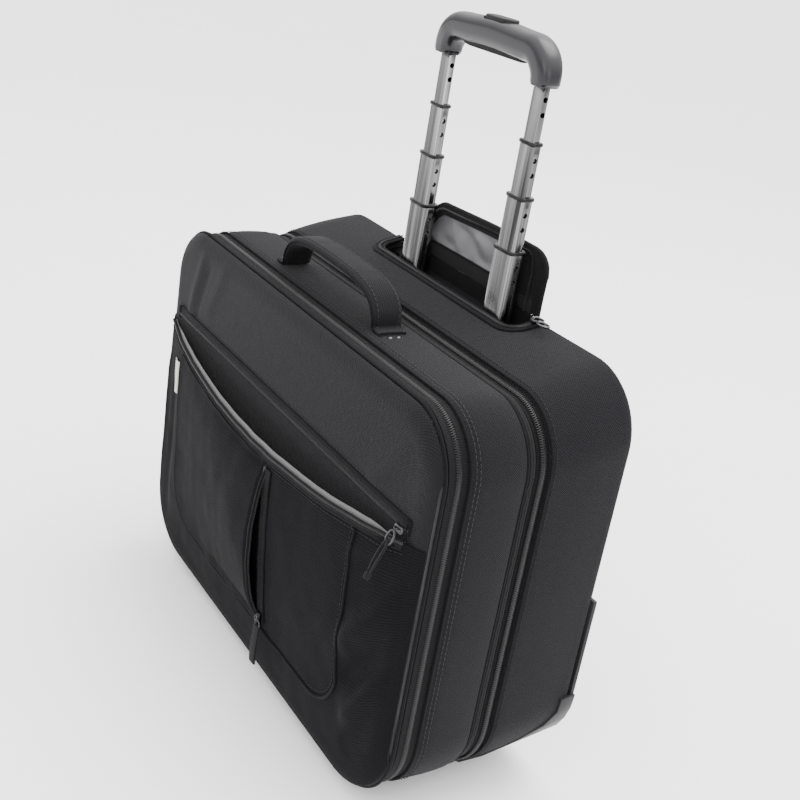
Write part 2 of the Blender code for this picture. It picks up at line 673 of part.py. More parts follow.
def build_flap():
    """The well's cover, hinged along its back edge and standing open."""
    low = REAR_TOP + 0.0015
    outline = rounded(WELL_HALF - 0.003, low, low + FLAP_HEIGHT, 0.018, 0.002, 5)
    finish("hatch_flap", slab(outline, FLAP_Y, FLAP_Y + 0.0025, "Y"), "nylon", (0, FLAP_Y + 0.0012, REAR_TOP))


def main():
    for item in list(bpy.data.objects):
        bpy.data.objects.remove(item)
    build_rear()
    for side, sign in (("left", -1), ("right", 1)):
        build_housing(side, sign)
        build_wheel(side, sign)
        for stage in range(len(TUBE_SIZES)):
            build_tube(side, sign, stage)
    build_grip()
    build_middle()
    build_front()
    build_flap()
    build_zips()


main()
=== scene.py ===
"""Looks of the rolling laptop case: sewn covers, zips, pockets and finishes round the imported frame."""

import json
import math

import bmesh
import bpy
import numpy as np
from mathutils import Matrix, Vector, noise


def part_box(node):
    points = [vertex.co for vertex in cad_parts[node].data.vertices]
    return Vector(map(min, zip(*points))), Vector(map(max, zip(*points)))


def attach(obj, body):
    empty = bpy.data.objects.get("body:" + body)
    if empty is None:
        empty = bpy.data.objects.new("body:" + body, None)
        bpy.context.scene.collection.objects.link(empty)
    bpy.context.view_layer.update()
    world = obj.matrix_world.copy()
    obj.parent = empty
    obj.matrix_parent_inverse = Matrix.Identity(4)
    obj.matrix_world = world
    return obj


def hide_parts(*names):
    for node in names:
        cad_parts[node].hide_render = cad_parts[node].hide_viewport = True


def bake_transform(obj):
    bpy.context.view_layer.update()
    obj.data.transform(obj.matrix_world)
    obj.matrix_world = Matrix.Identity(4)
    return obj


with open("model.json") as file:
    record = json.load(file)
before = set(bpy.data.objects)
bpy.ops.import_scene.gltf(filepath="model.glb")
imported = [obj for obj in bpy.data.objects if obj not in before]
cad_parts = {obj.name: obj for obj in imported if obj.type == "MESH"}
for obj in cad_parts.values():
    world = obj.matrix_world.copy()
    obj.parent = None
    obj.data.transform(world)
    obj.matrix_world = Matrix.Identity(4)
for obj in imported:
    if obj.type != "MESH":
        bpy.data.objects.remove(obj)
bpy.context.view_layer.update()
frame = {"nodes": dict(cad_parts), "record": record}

# Places read from the frame
lid_low, lid_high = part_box("front_panel")
middle_low, middle_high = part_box("middle_shell")
rear_low, rear_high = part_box("rear_shell")
HALF, BASE, TOP = middle_high.x, middle_low.z, middle_high.z
REAR_HALF, REAR_TOP, BACK_Y = rear_high.x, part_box("hatch_flap")[0].z - 0.0015, rear_high.y
PANEL_FACE = lid_low.y
SEAM_Y = PANEL_FACE + 0.008
FRONT_ZIP = lid_high.y + 0.0004
MIDDLE_Y = middle_low.y - 0.001
CHANNEL_Y = middle_high.y + 0.0003
MAIN_ZIP = rear_low.y - 0.0005
REAR_BASE = BASE + 0.014
ZIP_LINE = (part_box("pocket_zip")[0].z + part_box("pocket_zip")[1].z) / 2

# Outline radii and the covers' thickness
TOP_RADIUS, BOTTOM_RADIUS, REAR_RADIUS = 0.047, 0.062, 0.052
CLOTH = 0.0042

TAU = 2 * math.pi


def mix(a, b, t):
    return a + (b - a) * t


def squared(value, power):
    """A sine or cosine pushed outwards, so that a ring of them has flatter sides."""
    return math.copysign(abs(value) ** power, value)


def smooth(t):
    t = min(max(t, 0.0), 1.0)
    return t * t * (3 - 2 * t)


# Materials
class Nodes:
    """A material under construction: its Principled shader and short ways to add nodes."""

    def __init__(self, name, color, roughness, metallic=0.0):
        self.made = bpy.data.materials.new(name)
        self.made.use_nodes = True
        self.tree = self.made.node_tree
        self.shader = self.tree.nodes["Principled BSDF"]
        self.shader.inputs["Base Color"].default_value = (*color, 1.0)
        self.shader.inputs["Roughness"].default_value = roughness
        self.shader.inputs["Metallic"].default_value = metallic

    def set(self, **values):
        for name, value in values.items():
            self.shader.inputs[name.replace("_", " ")].default_value = value

    def add(self, kind, **inputs):
        """A node with its inputs set or linked. Underscores in a name stand for spaces."""
        node = self.tree.nodes.new(kind)
        for name, value in inputs.items():
            socket = node.inputs[int(name[1:]) if name[0] == "i" and name[1:].isdigit()
                                 else name.replace("_", " ")]
            if isinstance(value, bpy.types.NodeSocket):
                self.tree.links.new(value, socket)
            else:
                socket.default_value = value
        return node

    def math(self, operation, a, b=0.0, c=0.0):
        node = self.add("ShaderNodeMath", i0=a, i1=b, i2=c)
        node.operation = operation
        return node.outputs[0]

    def link(self, source, name):
        self.tree.links.new(source, self.shader.inputs[name])

    def cloth(self):
        """The two lengths along a sewn surface, in metres, that its pieces carry."""
        given = self.add("ShaderNodeAttribute")
        given.attribute_name = "cloth"
        parts = self.add("ShaderNodeSeparateXYZ", Vector=given.outputs["Vector"])
        return given.outputs["Vector"], parts.outputs["X"], parts.outputs["Y"]

    def place(self):
        return self.add("ShaderNodeTexCoord").outputs["Object"]

    def noise(self, scale, detail=3.0, vector=None):
        node = self.add("ShaderNodeTexNoise", Scale=scale, Detail=detail, Vector=vector or self.place())
        return node.outputs["Fac"]

    def ramp(self, factor, *stops):
        """A colour ramp through (position, colour) stops."""
        node = self.add("ShaderNodeValToRGB", Fac=factor)
        elements = node.color_ramp.elements
        while len(elements) < len(stops):
            elements.new(0.5)
        for element, (position, color) in zip(elements, stops):
            element.position = position
            element.color = (*color, 1.0)
        return node.outputs["Color"]

    def blend(self, kind, factor, a, b):
        node = self.add("ShaderNodeMix")
        node.data_type, node.blend_type = "RGBA", kind
        for socket, value in ((node.inputs[0], factor), (node.inputs[6], a), (node.inputs[7], b)):
            if isinstance(value, bpy.types.NodeSocket):
                self.tree.links.new(value, socket)
            else:
                socket.default_value = value if isinstance(value, float) else (*value, 1.0)
        return node.outputs[2]

    def bump(self, height, strength, distance):
        node = self.add("ShaderNodeBump", Height=height, Strength=strength, Distance=distance)
        self.link(node.outputs["Normal"], "Normal")


def woven(name, color, pitch, kind="plain", contrast=0.35, relief=0.00035, roughness=0.85,
          sheen=0.05, shine=0.06):
    """Woven cloth. Pitch is the distance between threads; kind is plain, rib, twill or tape."""
    make = Nodes(name, color, roughness)
    make.set(Sheen_Weight=sheen, Sheen_Roughness=0.45, Specular_IOR_Level=shine)
    vector, u, v = make.cloth()
    k = math.pi / pitch
    waver = make.math("MULTIPLY", make.noise(220.0, 3.0, vector), pitch * 2.6)
    across = make.math("SINE", make.math("MULTIPLY", make.math("ADD", u, waver), k))
    along = make.math("SINE", make.math("MULTIPLY", make.math("ADD", v, waver), k))
    if kind == "plain":
        height = make.math("MULTIPLY", across, along)
    elif kind == "rib":
        fine = make.math("MULTIPLY", across, 0.45)
        height = make.math("MULTIPLY_ADD", along, 0.75, make.math("MULTIPLY", fine, along))
    elif kind == "twill":
        slant = make.math("ADD", make.math("MULTIPLY", u, k), make.math("MULTIPLY", v, k))
        height = make.math("MULTIPLY_ADD", make.math("SINE", slant), 0.6, make.math("MULTIPLY", across, 0.4))
    else:
        chevron = make.math("ABSOLUTE", make.math("MULTIPLY", u, 3.0))
        slant = make.math("ADD", make.math("MULTIPLY", v, 2.0 * k), make.math("MULTIPLY", chevron, k))
        height = make.math("MULTIPLY_ADD", make.math("SINE", slant), 0.6, make.math("MULTIPLY", across, 0.4))
    level = make.math("MULTIPLY_ADD", height, 0.5, 0.5)
    dark = [c * (1 - contrast) for c in color]
    light = [min(c * (1 + contrast), 1.0) for c in color]
    threads = make.ramp(level, (0.1, dark), (0.9, light))
    cloudy, patch = make.noise(7.0, 4.0), 0.10
    shade = make.ramp(cloudy, (0.25, (1 - patch,) * 3), (0.75, (1 + patch,) * 3))
    make.link(make.blend("MULTIPLY", 1.0, threads, shade), "Base Color")
    fuzz = make.noise(900.0, 2.0)
    rough = make.math("MULTIPLY_ADD", fuzz, 0.18, roughness - 0.09)
    make.link(rough, "Roughness")
    make.bump(make.math("MULTIPLY_ADD", fuzz, 0.25, level), 0.8, relief)
    return make.made


def satin(name, color):
    """Smooth lining: a fine twill line with broad soft sheen."""
    make = Nodes(name, color, 0.42)
    make.set(Sheen_Weight=0.1, Sheen_Roughness=0.3, Specular_IOR_Level=0.45)
    u, v = make.cloth()[1:]
    line = make.math("SINE", make.math("MULTIPLY", make.math("ADD", u, v), math.pi / 0.0009))
    soft = make.noise(16.0, 4.0)
    dark = [c * 0.78 for c in color]
    light = [c * 1.18 for c in color]
    make.link(make.ramp(soft, (0.3, dark), (0.7, light)), "Base Color")
    make.link(make.math("MULTIPLY_ADD", soft, 0.2, 0.32), "Roughness")
    make.bump(make.math("MULTIPLY_ADD", line, 0.3, soft), 0.35, 0.0004)
    return make.made


def moulded(name, color, roughness, grain=900.0, relief=0.00012, wear=0.15, shine=0.16):
    """Moulded plastic or rubber with a fine spark-eroded grain and slight scuffs."""
    make = Nodes(name, color, roughness)
    make.set(Specular_IOR_Level=shine)
    fine = make.noise(grain, 2.0)
    broad = make.noise(14.0, 5.0)
    dark = [c * (1 - wear) for c in color]
    light = [min(c * (1 + wear), 1.0) for c in color]
    make.link(make.ramp(broad, (0.3, dark), (0.7, light)), "Base Color")
    make.link(make.math("MULTIPLY_ADD", broad, 0.22, roughness - 0.11), "Roughness")
    make.bump(fine, 0.5, relief)
    return make.made


def drawn_metal_painted_reflection(name, color, roughness):
    """Drawn and anodised aluminium: long faint lines down the tube, and broad painted reflection bands along
    it.
    """
    make = Nodes(name, color, roughness, 1.0)
    stretch = make.add("ShaderNodeMapping", Vector=make.place())
    stretch.inputs["Scale"].default_value = (900.0, 900.0, 6.0)
    lines = make.noise(1.0, 3.0, stretch.outputs["Vector"])
    cloud = make.noise(24.0, 3.0)
    # Broad bands stretched along the tube are painted reflection: dark and bright stripes that stand in for
    # the studio mirrored in the metal.
    broad = make.add("ShaderNodeMapping", Vector=make.place())
    broad.inputs["Scale"].default_value = (150.0, 150.0, 4.0)
    bands = make.noise(1.0, 1.5, broad.outputs["Vector"])
    # The colour is mostly the painted reflection bands, with the real drawn lines over them.
    level = make.math("MULTIPLY_ADD", lines, 0.25, make.math("MULTIPLY", bands, 0.75))
    dark, light = [c * 0.22 for c in color], [min(c * 1.9, 0.9) for c in color]
    make.link(make.ramp(level, (0.36, dark), (0.50, color), (0.64, light)), "Base Color")
    make.link(make.math("MULTIPLY_ADD", make.math("MULTIPLY", lines, cloud), 0.35, roughness - 0.08),
              "Roughness")
    make.bump(lines, 0.12, 0.00005)
    return make.made


def plated(name, color, roughness):
    """Nickel-plated zinc, a little tarnished."""
    make = Nodes(name, color, roughness, 1.0)
    cloud = make.noise(160.0, 4.0)
    make.link(make.ramp(cloud, (0.3, [c * 0.6 for c in color]), (0.65, color)), "Base Color")
    make.link(make.math("MULTIPLY_ADD", cloud, 0.35, roughness - 0.12), "Roughness")
    make.bump(cloud, 0.15, 0.0001)
    return make.made


MAKERS = {
    "nylon": lambda: woven("nylon", (0.0080, 0.0075, 0.0087), 0.0011, "plain", 0.45, 0.0004),
    # The front pockets' rib cloth is darker than the nylon: partly its own tone, partly painted shade for the
    # front face.
    "nylon_rib_painted_shade": lambda: woven("nylon_rib_painted_shade", (0.0044, 0.0041, 0.0050), 0.0012, "rib", 0.34, 0.0003, sheen=0.02,
                               shine=0.035),
    "strap": lambda: woven("strap", (0.0085, 0.0080, 0.0090), 0.0010, "twill", 0.40, 0.0004),
    "trim": lambda: woven("trim", (0.0040, 0.0038, 0.0045), 0.0008, "plain", 0.30, 0.0003, 0.7, 0.02),
    "tape": lambda: woven("tape", (0.0060, 0.0060, 0.0066), 0.0009, "tape", 0.50, 0.0005, 0.75, 0.03),
    "gusset": lambda: woven("gusset", (0.0085, 0.0085, 0.0090), 0.0012, "rib", 0.40, 0.0004, 0.8, 0.03),
    "lining": lambda: satin("lining", (0.13, 0.128, 0.134)),
    "rim": lambda: woven("rim", (0.115, 0.111, 0.113), 0.0010, "plain", 0.15, 0.0002, 0.7, 0.1),
    "dark_lining": lambda: woven("dark_lining", (0.004, 0.004, 0.0045), 0.0012, "plain", 0.3, 0.0003, 0.8,
                                 0.0),
    "coil": lambda: moulded("coil", (0.0090, 0.0086, 0.0095), 0.38, 2000.0, 0.00004, 0.15, 0.3),
    "thread": lambda: moulded("thread", (0.012, 0.011, 0.0125), 0.6, 3000.0, 0.00008),
    "thread_light": lambda: moulded("thread_light", (0.022, 0.021, 0.0235), 0.6, 3000.0, 0.00008),
    "grip": lambda: moulded("grip", (0.0095, 0.0085, 0.0108), 0.30, 1400.0, 0.00006, 0.15, 0.35),
    "plastic": lambda: moulded("plastic", (0.0070, 0.0068, 0.0072), 0.45),
    "guard": lambda: moulded("guard", (0.016, 0.016, 0.017), 0.42, 1100.0, 0.00015),
    "collar": lambda: plated("collar", (0.030, 0.030, 0.031), 0.34),
    "board": lambda: moulded("board", (0.006, 0.006, 0.006), 0.6, 300.0, 0.0002),
    "rubber": lambda: moulded("rubber", (0.008, 0.008, 0.0085), 0.75, 500.0, 0.0003),
    "tyre": lambda: moulded("tyre", (0.010, 0.010, 0.011), 0.68, 700.0, 0.0003, 0.3),
    "aluminium": lambda: drawn_metal_painted_reflection("aluminium", (0.17, 0.168, 0.166), 0.20),
    "steel": lambda: plated("steel", (0.055, 0.055, 0.058), 0.30),
    "bright": lambda: plated("bright", (0.11, 0.11, 0.115), 0.22),
    "label": lambda: woven("label", (0.50, 0.49, 0.44), 0.0007, "plain", 0.12, 0.0002, 0.7, 0.1),
}
made_materials = {}


def material(name):
    if name not in made_materials:
        made_materials[name] = MAKERS[name]()
    return made_materials[name]


# Directions at a point of a path, for threads and coils
def to_front(place):
    return Vector((0, -1, 0))


def to_back(place):
    return Vector((0, 1, 0))


def to_right(place):
    return Vector((1, 0, 0))


def to_top(place):
    return Vector((0, 0, 1))


def to_floor(place):
    return Vector((0, 0, -1))


# Building meshes. A point given as x, y, z is in the frame's metres.
class Surface:
    """Grids of points gathered into one mesh, each corner with its two lengths along the cloth."""

    def __init__(self):
        self.points, self.faces, self.slots, self.cloth = [], [], [], []

    def grid(self, rows, slot=0, flip=False, lengths=None):
        """Rows of points, each joined to the next. Without lengths, the cloth coordinates are arc lengths."""
        rows = np.asarray(rows, float)
        n, m = rows.shape[:2]
        if lengths is None:
            middle = rows[n // 2]
            u = np.concatenate([[0], np.cumsum(np.linalg.norm(np.diff(middle, axis=0), axis=1))])
            steps = np.linalg.norm(np.diff(rows, axis=0), axis=2).mean(axis=1)
            v = np.concatenate([[0], np.cumsum(steps)])
            lengths = np.stack(np.broadcast_arrays(u[None, :], v[:, None]), axis=2)
        start = len(self.points)
        self.points.extend(rows.reshape(-1, 3).tolist())
        flat = np.asarray(lengths, float).reshape(-1, 2)
        for i in range(n - 1):
            for j in range(m - 1):
                a = i * m + j
                quad = [a, a + 1, a + m + 1, a + m]
                if flip:
                    quad.reverse()
                self.faces.append([start + q for q in quad])
                self.slots.append(slot)
                self.cloth.extend(flat[q] for q in quad)
        return self

    def quilt(self, front, back, slot=0, lined=1):
        """Two layers of cloth joined along all four edges."""
        self.grid(front, slot)
        self.grid(back, lined, True)
        for k in (0, -1):
            self.grid([front[k], back[k]], slot)
            self.grid([[row[k] for row in front], [row[k] for row in back]], slot)
        return self

    def polygon(self, ring, slot=0, flip=False):
        start = len(self.points)
        self.points.extend([list(p) for p in ring])
        order = list(range(len(ring)))
        if flip:
            order.reverse()
        self.faces.append([start + q for q in order])
        self.slots.append(slot)
        self.cloth.extend((ring[q][0], ring[q][2]) for q in order)
        return self

    def lofted(self, rings):
        """Closed rings joined up, with a face over each end."""
        self.grid(rings)
        self.polygon(rings[0][:-1], 0, True)
        return self.polygon(rings[-1][:-1])

    def object(self, name, slots, angle=40.0, weld=2e-6, closed=False):
        """The mesh object, with doubled points merged."""
        mesh = bpy.data.meshes.new(name)
        mesh.from_pydata(self.points, [], self.faces)
        mesh.polygons.foreach_set("material_index", self.slots)
        layer = mesh.attributes.new("cloth", "FLOAT_VECTOR", "CORNER")
        lengths = np.zeros((len(self.cloth), 3), np.float32)
        lengths[:, :2] = np.array(self.cloth, np.float32)
        layer.data.foreach_set("vector", lengths.ravel())
        work = bmesh.new()
        work.from_mesh(mesh)
        bmesh.ops.remove_doubles(work, verts=work.verts, dist=weld)
        bmesh.ops.dissolve_degenerate(work, dist=weld, edges=work.edges)
        if closed:
            bmesh.ops.recalc_face_normals(work, faces=work.faces)
        work.to_mesh(mesh)
        work.free()
        return shown(name, mesh, slots, angle)


def shown(name, mesh, slots, angle=40.0):
    """Puts a mesh into the scene with its materials and smooth shading up to the given angle."""
    for finish in slots:
        mesh.materials.append(material(finish))
    mesh.shade_smooth()
    mesh.set_sharp_from_angle(angle=math.radians(angle))
    item = bpy.data.objects.new(name, mesh)
    bpy.context.scene.collection.objects.link(item)
    return item


def ride(item, body, slot, *nodes):
    """Sets what the piece moves with and hides the CAD nodes that it stands for. The slot argument is not
    used.
    """
    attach(item, body)
    if nodes:
        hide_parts(*nodes)
    return item


def apply(item):
    """Applies the piece's modifiers."""
    bpy.context.view_layer.update()
    graph = bpy.context.evaluated_depsgraph_get()
    mesh = bpy.data.meshes.new_from_object(item.evaluated_get(graph), preserve_all_data_layers=True,
                                           depsgraph=graph)
    item.modifiers.clear()
    item.data = mesh
    return item


def boolean(item, cutter):
    """Cuts with another object, which is then removed."""
    change = item.modifiers.new("cut", "BOOLEAN")
    change.operation, change.solver, change.object = "DIFFERENCE", "EXACT", cutter
    apply(item)
    bpy.data.objects.remove(cutter)
    return item


def tube(surface, path, radius, sides=8, closed=False, slot=0, flat=1.0):
    """A round bead along a path of points. flat squeezes it across the second direction."""
    path = [Vector(p) for p in path]
    n = len(path)
    rings, side = [], None
    for i, point in enumerate(path):
        if closed:
            before, after = path[i - 1], path[(i + 1) % n]
        else:
            before, after = path[max(i - 1, 0)], path[min(i + 1, n - 1)]
        along = (after - before).normalized()
        if side is None:
            side = along.orthogonal().normalized()
        side = (side - along * side.dot(along)).normalized()
        up = along.cross(side)
        size = radius(i / (n - 1)) if callable(radius) else radius
        ring = []
        for k in range(sides + 1):
            a = TAU * k / sides
            ring.append(point + side * math.cos(a) * size + up * math.sin(a) * size * flat)
        rings.append([list(p) for p in ring])
    if closed:
        rings.append(align(rings[0], rings[-1]))
    surface.grid(rings, slot)
    if not closed:
        surface.polygon(rings[0][:-1], slot, True)
        surface.polygon(rings[-1][:-1], slot)
    return surface


def align(first, last):
    """The first ring, turned to start next to the last ring's start, so a closed tube doesn't twist."""
    body = first[:-1]
    start = min(range(len(body)), key=lambda k: (Vector(body[k]) - Vector(last[0])).length)
    turned = body[start:] + body[:start]
    return turned + [turned[0]]


def spaced(path, step, closed=False):
    """Points every step metres along a path, with the direction there and the share of the way."""
    points = [Vector(p) for p in path] + ([Vector(path[0])] if closed else [])
    lengths = [0.0]
    for a, b in zip(points, points[1:]):
        lengths.append(lengths[-1] + (b - a).length)
    count = max(int(lengths[-1] / step), 1)
    result, k = [], 0
    for i in range(count if closed else count + 1):
        at = lengths[-1] * i / count
        while k < len(points) - 2 and lengths[k + 1] < at:
            k += 1
        span = max(lengths[k + 1] - lengths[k], 1e-12)
        result.append((points[k].lerp(points[k + 1], (at - lengths[k]) / span),
                       (points[k + 1] - points[k]).normalized()))
    return result


def capsule(points, faces, start, end, up, radius, sides=6, arch=0.0):
    """A short thread from start to end, rounded at its ends and lifted in the middle by arch."""
    along = (end - start).normalized()
    side = along.cross(up).normalized()
    rings = []
    for share, size in ((0.0, 0.35), (0.12, 0.85), (0.5, 1.0), (0.88, 0.85), (1.0, 0.35)):
        centre = start.lerp(end, share) + up * (arch * 4 * share * (1 - share))
        rings.append([centre + (side * math.cos(TAU * k / sides) + up * math.sin(TAU * k / sides)) * radius
                      * size
                      for k in range(sides)])
    base = len(points)
    for ring in rings:
        points.extend(ring)
    for i in range(len(rings) - 1):
        for k in range(sides):
            j = (k + 1) % sides
            faces.append([base + i * sides + k, base + i * sides + j, base + (i + 1) * sides + j,
                          base + (i + 1) * sides + k])
    faces.append([base + k for k in range(sides)][::-1])
    faces.append([base + (len(rings) - 1) * sides + k for k in range(sides)])


def threads(name, points, faces, finish, body, slot):
    """Many short threads as one piece."""
    mesh = bpy.data.meshes.new(name)
    mesh.from_pydata([list(p) for p in points], [], faces)
    return ride(shown(name, mesh, [finish]), body, slot)


def stitches(name, rows, body, slot="nylon", finish="thread", pitch=0.0042, length=0.0030,
             radius=0.00032):
    """Rows of stitches. A row is a path, a function giving up at a point, and whether it closes."""
    points, faces = [], []
    for path, up, closed in rows:
        for place, along in spaced(path, pitch, closed):
            rise = up(place)
            capsule(points, faces, place - along * length / 2, place + along * length / 2, rise, radius, 5,
                    0.0002)
    return threads(name, points, faces, finish, body, slot)


def coil(name, path, up, out, body, pitch=0.0017, reach=0.0023, radius=0.00050, closed=False, shift=0.0):
    """One half of a zip coil: rungs across the tape, bent down to it. out leads away from the middle."""
    points, faces = [], []
    for place, along in spaced(path, pitch, closed):
        rise, away = up(place), out(place)
        place = place + along * pitch * shift
        inner = place - away * 0.0006 + rise * 0.0006
        outer = place + away * reach + rise * 0.0001
        capsule(points, faces, inner, outer, rise, radius, 6, 0.0004)
        capsule(points, faces, inner + along * pitch * 0.30 - rise * 0.0005,
                outer + along * pitch * 0.45 - rise * 0.0002, rise, radius * 0.8, 4, 0.0)
    return threads(name, points, faces, "coil", body, "trim")


# The case's outline
def outline_lengths():
    """The outline's stretches in order from the bottom's middle, counter-clockwise seen from the front."""
    side = TOP - BASE - TOP_RADIUS - BOTTOM_RADIUS
    return [HALF - BOTTOM_RADIUS, BOTTOM_RADIUS * math.pi / 2, side, TOP_RADIUS * math.pi / 2,
            2 * (HALF - TOP_RADIUS), TOP_RADIUS * math.pi / 2, side, BOTTOM_RADIUS * math.pi / 2,
            HALF - BOTTOM_RADIUS]


STRETCHES = outline_lengths()
ROUND = sum(STRETCHES)


def around(s, y, inset=0.0):
    """The outline's point at share s of the way round, at depth y, drawn in by inset, and the way out."""
    share = min(max((y - MAIN_ZIP) / (BACK_Y - MAIN_ZIP), 0.0), 1.0)
    half = mix(HALF, REAR_HALF, share) - inset
    low, high = mix(BASE, REAR_BASE, share) + inset, mix(TOP, REAR_TOP, share) - inset
    top, bottom = max(mix(TOP_RADIUS, REAR_RADIUS, share) - inset, 0.004), max(BOTTOM_RADIUS - inset, 0.004)
    at = (s % 1.0) * ROUND
    k = 0
    while k < 8 and at > STRETCHES[k]:
        at -= STRETCHES[k]
        k += 1
    t = at / STRETCHES[k]
    if k == 0:
        x, z, n = (half - bottom) * t, low, (0, -1)
    elif k in (1, 3, 5, 7):
        turn = {1: -90, 3: 0, 5: 90, 7: 180}[k] + 90 * t
        radius = bottom if k in (1, 7) else top
        cx = (half - radius) * (1 if k in (1, 3) else -1)
        cz = low + radius if k in (1, 7) else high - radius
        n = (math.cos(math.radians(turn)), math.sin(math.radians(turn)))
        x, z = cx + radius * n[0], cz + radius * n[1]
    elif k == 2:
        x, z, n = half, mix(low + bottom, high - top, t), (1, 0)
    elif k == 4:
        x, z, n = mix(half - top, -half + top, t), high, (0, 1)
    elif k == 6:
        x, z, n = -half, mix(high - top, low + bottom, t), (-1, 0)
    else:
        x, z, n = mix(-half + bottom, 0.0, t), low, (0, -1)
    return Vector((x, y, z)), Vector((n[0], 0.0, n[1]))


def loop(y, inset=0.0, count=360):
    """The whole outline as points."""
    return [around(i / count, y, inset)[0] for i in range(count)]


def out_of_case(place):
    """The way out of the case at a point on its side walls."""
    share = min(max((place.y - MAIN_ZIP) / (BACK_Y - MAIN_ZIP), 0.0), 1.0)
    half = mix(HALF, REAR_HALF, share)
    low, high = mix(BASE, REAR_BASE, share), mix(TOP, REAR_TOP, share)
    radius = mix(TOP_RADIUS, REAR_RADIUS, share) if place.z > (low + high) / 2 else BOTTOM_RADIUS
    cx = min(max(place.x, -half + radius), half - radius)
    cz = min(max(place.z, low + radius), high - radius)
    away = Vector((place.x - cx, 0.0, place.z - cz))
    return away.normalized() if away.length > 1e-6 else Vector((0, 0, 1))


def soft(place, scale=9.0, seed=0.0):
    """Slow unevenness of stuffed cloth, from -1 to 1."""
    return noise.noise(Vector((place.x * scale + seed, place.y * scale * 1.4 + seed, place.z * scale)))


def wall(name, outside, inside, finishes, body, slot, *nodes, count=360, waves=0.0007, seed=0.0):
    """A cover round the case. outside and inside list (y, inset) from front to back."""
    def rows(profile, uneven):
        made = []
        for i, (y, inset) in enumerate(profile):
            row = []
            for j in range(count + 1):
                point, away = around(j / count, y, inset)
                middle = min(i, len(profile) - 1 - i) / (len(profile) / 2)
                row.append(list(point + away * uneven * soft(point, 9.0, seed) * min(middle * 2, 1.0)))
            made.append(row)
        return made

    surface = Surface()
    out_rows, in_rows = rows(outside, waves), rows(inside, 0.0)
    surface.grid(out_rows, 0)
    surface.grid(in_rows, 1, True)
    surface.grid([in_rows[0], out_rows[0]], 0)
    surface.grid([out_rows[-1], in_rows[-1]], 0)
    return ride(surface.object(name, finishes, 50.0, closed=True), body, slot, *nodes)


def crowned(first, last, edge, crown, depth, steps=7):
    """(y, inset) from first to last: tucked in at both edges and crowned between."""
    profile = [(first + 0.0006, depth), (first, depth * 0.55), (first + 0.0004, edge + 0.0004)]
    for i in range(1, steps):
        t = i / steps
        profile.append((mix(first + 0.0015, last - 0.0015, t), edge - crown * math.sin(math.pi * t) ** 0.6))
    return profile + [(last - 0.0004, edge + 0.0004), (last, depth * 0.55), (last - 0.0006, depth)]


# Middle compartment
def build_middle():
    wall("middle_cover", crowned(MIDDLE_Y + 0.0012, CHANNEL_Y - 0.0006, 0.0, 0.0016, 0.0034),
         [(MIDDLE_Y + 0.0020, CLOTH), (MIDDLE_Y + 0.016, CLOTH), (CHANNEL_Y - 0.0016, CLOTH)],
         ["nylon", "lining"], "middle_case", "nylon", "middle_shell", seed=2.0)
    beads = Surface()
    tube(beads, loop(MIDDLE_Y + 0.0003, -0.0002), 0.0011, 8, True)
    tube(beads, loop(CHANNEL_Y + 0.0002, 0.0010), 0.0010, 8, True)
    ride(beads.object("middle_piping", ["trim"]), "middle_case", "trim")
    rows = [(loop(MIDDLE_Y + dy, -0.0004 - extra), out_of_case, True)
            for dy, extra in ((0.0042, 0.0007), (0.0072, 0.0011))]
    stitches("middle_stitches", rows, "middle_case", finish="thread_light")


def build_gussets():
    """The recessed band and the zip tapes between the sections."""
    band = Surface()
    profile = [(CHANNEL_Y + 0.0008, 0.0062), (CHANNEL_Y + 0.0010, 0.0040), (CHANNEL_Y + 0.0022, 0.0026),
               (CHANNEL_Y + 0.0050, 0.0021), (CHANNEL_Y + 0.0078, 0.0026), (CHANNEL_Y + 0.0088, 0.0042),
               (CHANNEL_Y + 0.0094, 0.0034), (MAIN_ZIP - 0.0002, 0.0026), (MAIN_ZIP - 0.0002, 0.0036),
               (CHANNEL_Y + 0.0014, 0.0064), (CHANNEL_Y + 0.0008, 0.0062)]
    band.grid([ring_row(y, inset) for y, inset in profile], 0)
    for face in range(5 * 360, 8 * 360):
        band.slots[face] = 1
    ride(band.object("main_gusset", ["gusset", "tape"], closed=True), "middle_case", "trim", "main_zip")
    tape("main_tape_rear", MAIN_ZIP + 0.0001, MAIN_ZIP + 0.0068, 0.0026, 0.0034, "rear_case")
    tape("front_tape_rear", FRONT_ZIP + 0.0003, MIDDLE_Y + 0.0010, 0.0016, 0.0010, "middle_case", "front_zip")
    coil("main_coil_front", loop(MAIN_ZIP, 0.0018), out_of_case, to_front, "middle_case",
         closed=True)
    coil("main_coil_rear", loop(MAIN_ZIP, 0.0018), out_of_case, to_back, "rear_case",
         closed=True, shift=0.5)
    coil("front_coil_rear", loop(FRONT_ZIP, 0.0012), out_of_case, to_back, "middle_case",
         closed=True, shift=0.5)
    coil("front_coil_lid", loop(FRONT_ZIP, 0.0012), out_of_case, to_front, "front_lid",
         closed=True)


def ring_row(y, inset, count=360):
    return [list(around(j / count, y, inset)[0]) for j in range(count + 1)]


def tape(name, first, last, inset_first, inset_last, body, *nodes, thick=0.0009):
    """A flat zip tape round the case."""
    surface = Surface()
    steps = 3
    top = [ring_row(mix(first, last, i / steps),
                    mix(inset_first, inset_last, i / steps)) for i in range(steps + 1)]
    low = [ring_row(mix(first, last, i / steps), mix(inset_first, inset_last, i / steps) + thick)
           for i in range(steps + 1)]
    surface.grid(top + low[::-1] + [top[0]], 0)
    return ride(surface.object(name, ["tape"], closed=True), body, "trim", *nodes)


# Rear compartment
HATCH_HALF, HATCH_FRONT, HATCH_BACK = 0.1000, BACK_Y - 0.0285, BACK_Y - 0.0025
BACK_ROUND = 0.0045
# The wheels' recesses, cut out of the cover round each housing
RECESS_INNER, RECESS_OUTER, RECESS_FRONT, RECESS_TOP = 0.1110, 0.1390, 0.0400, 0.0550


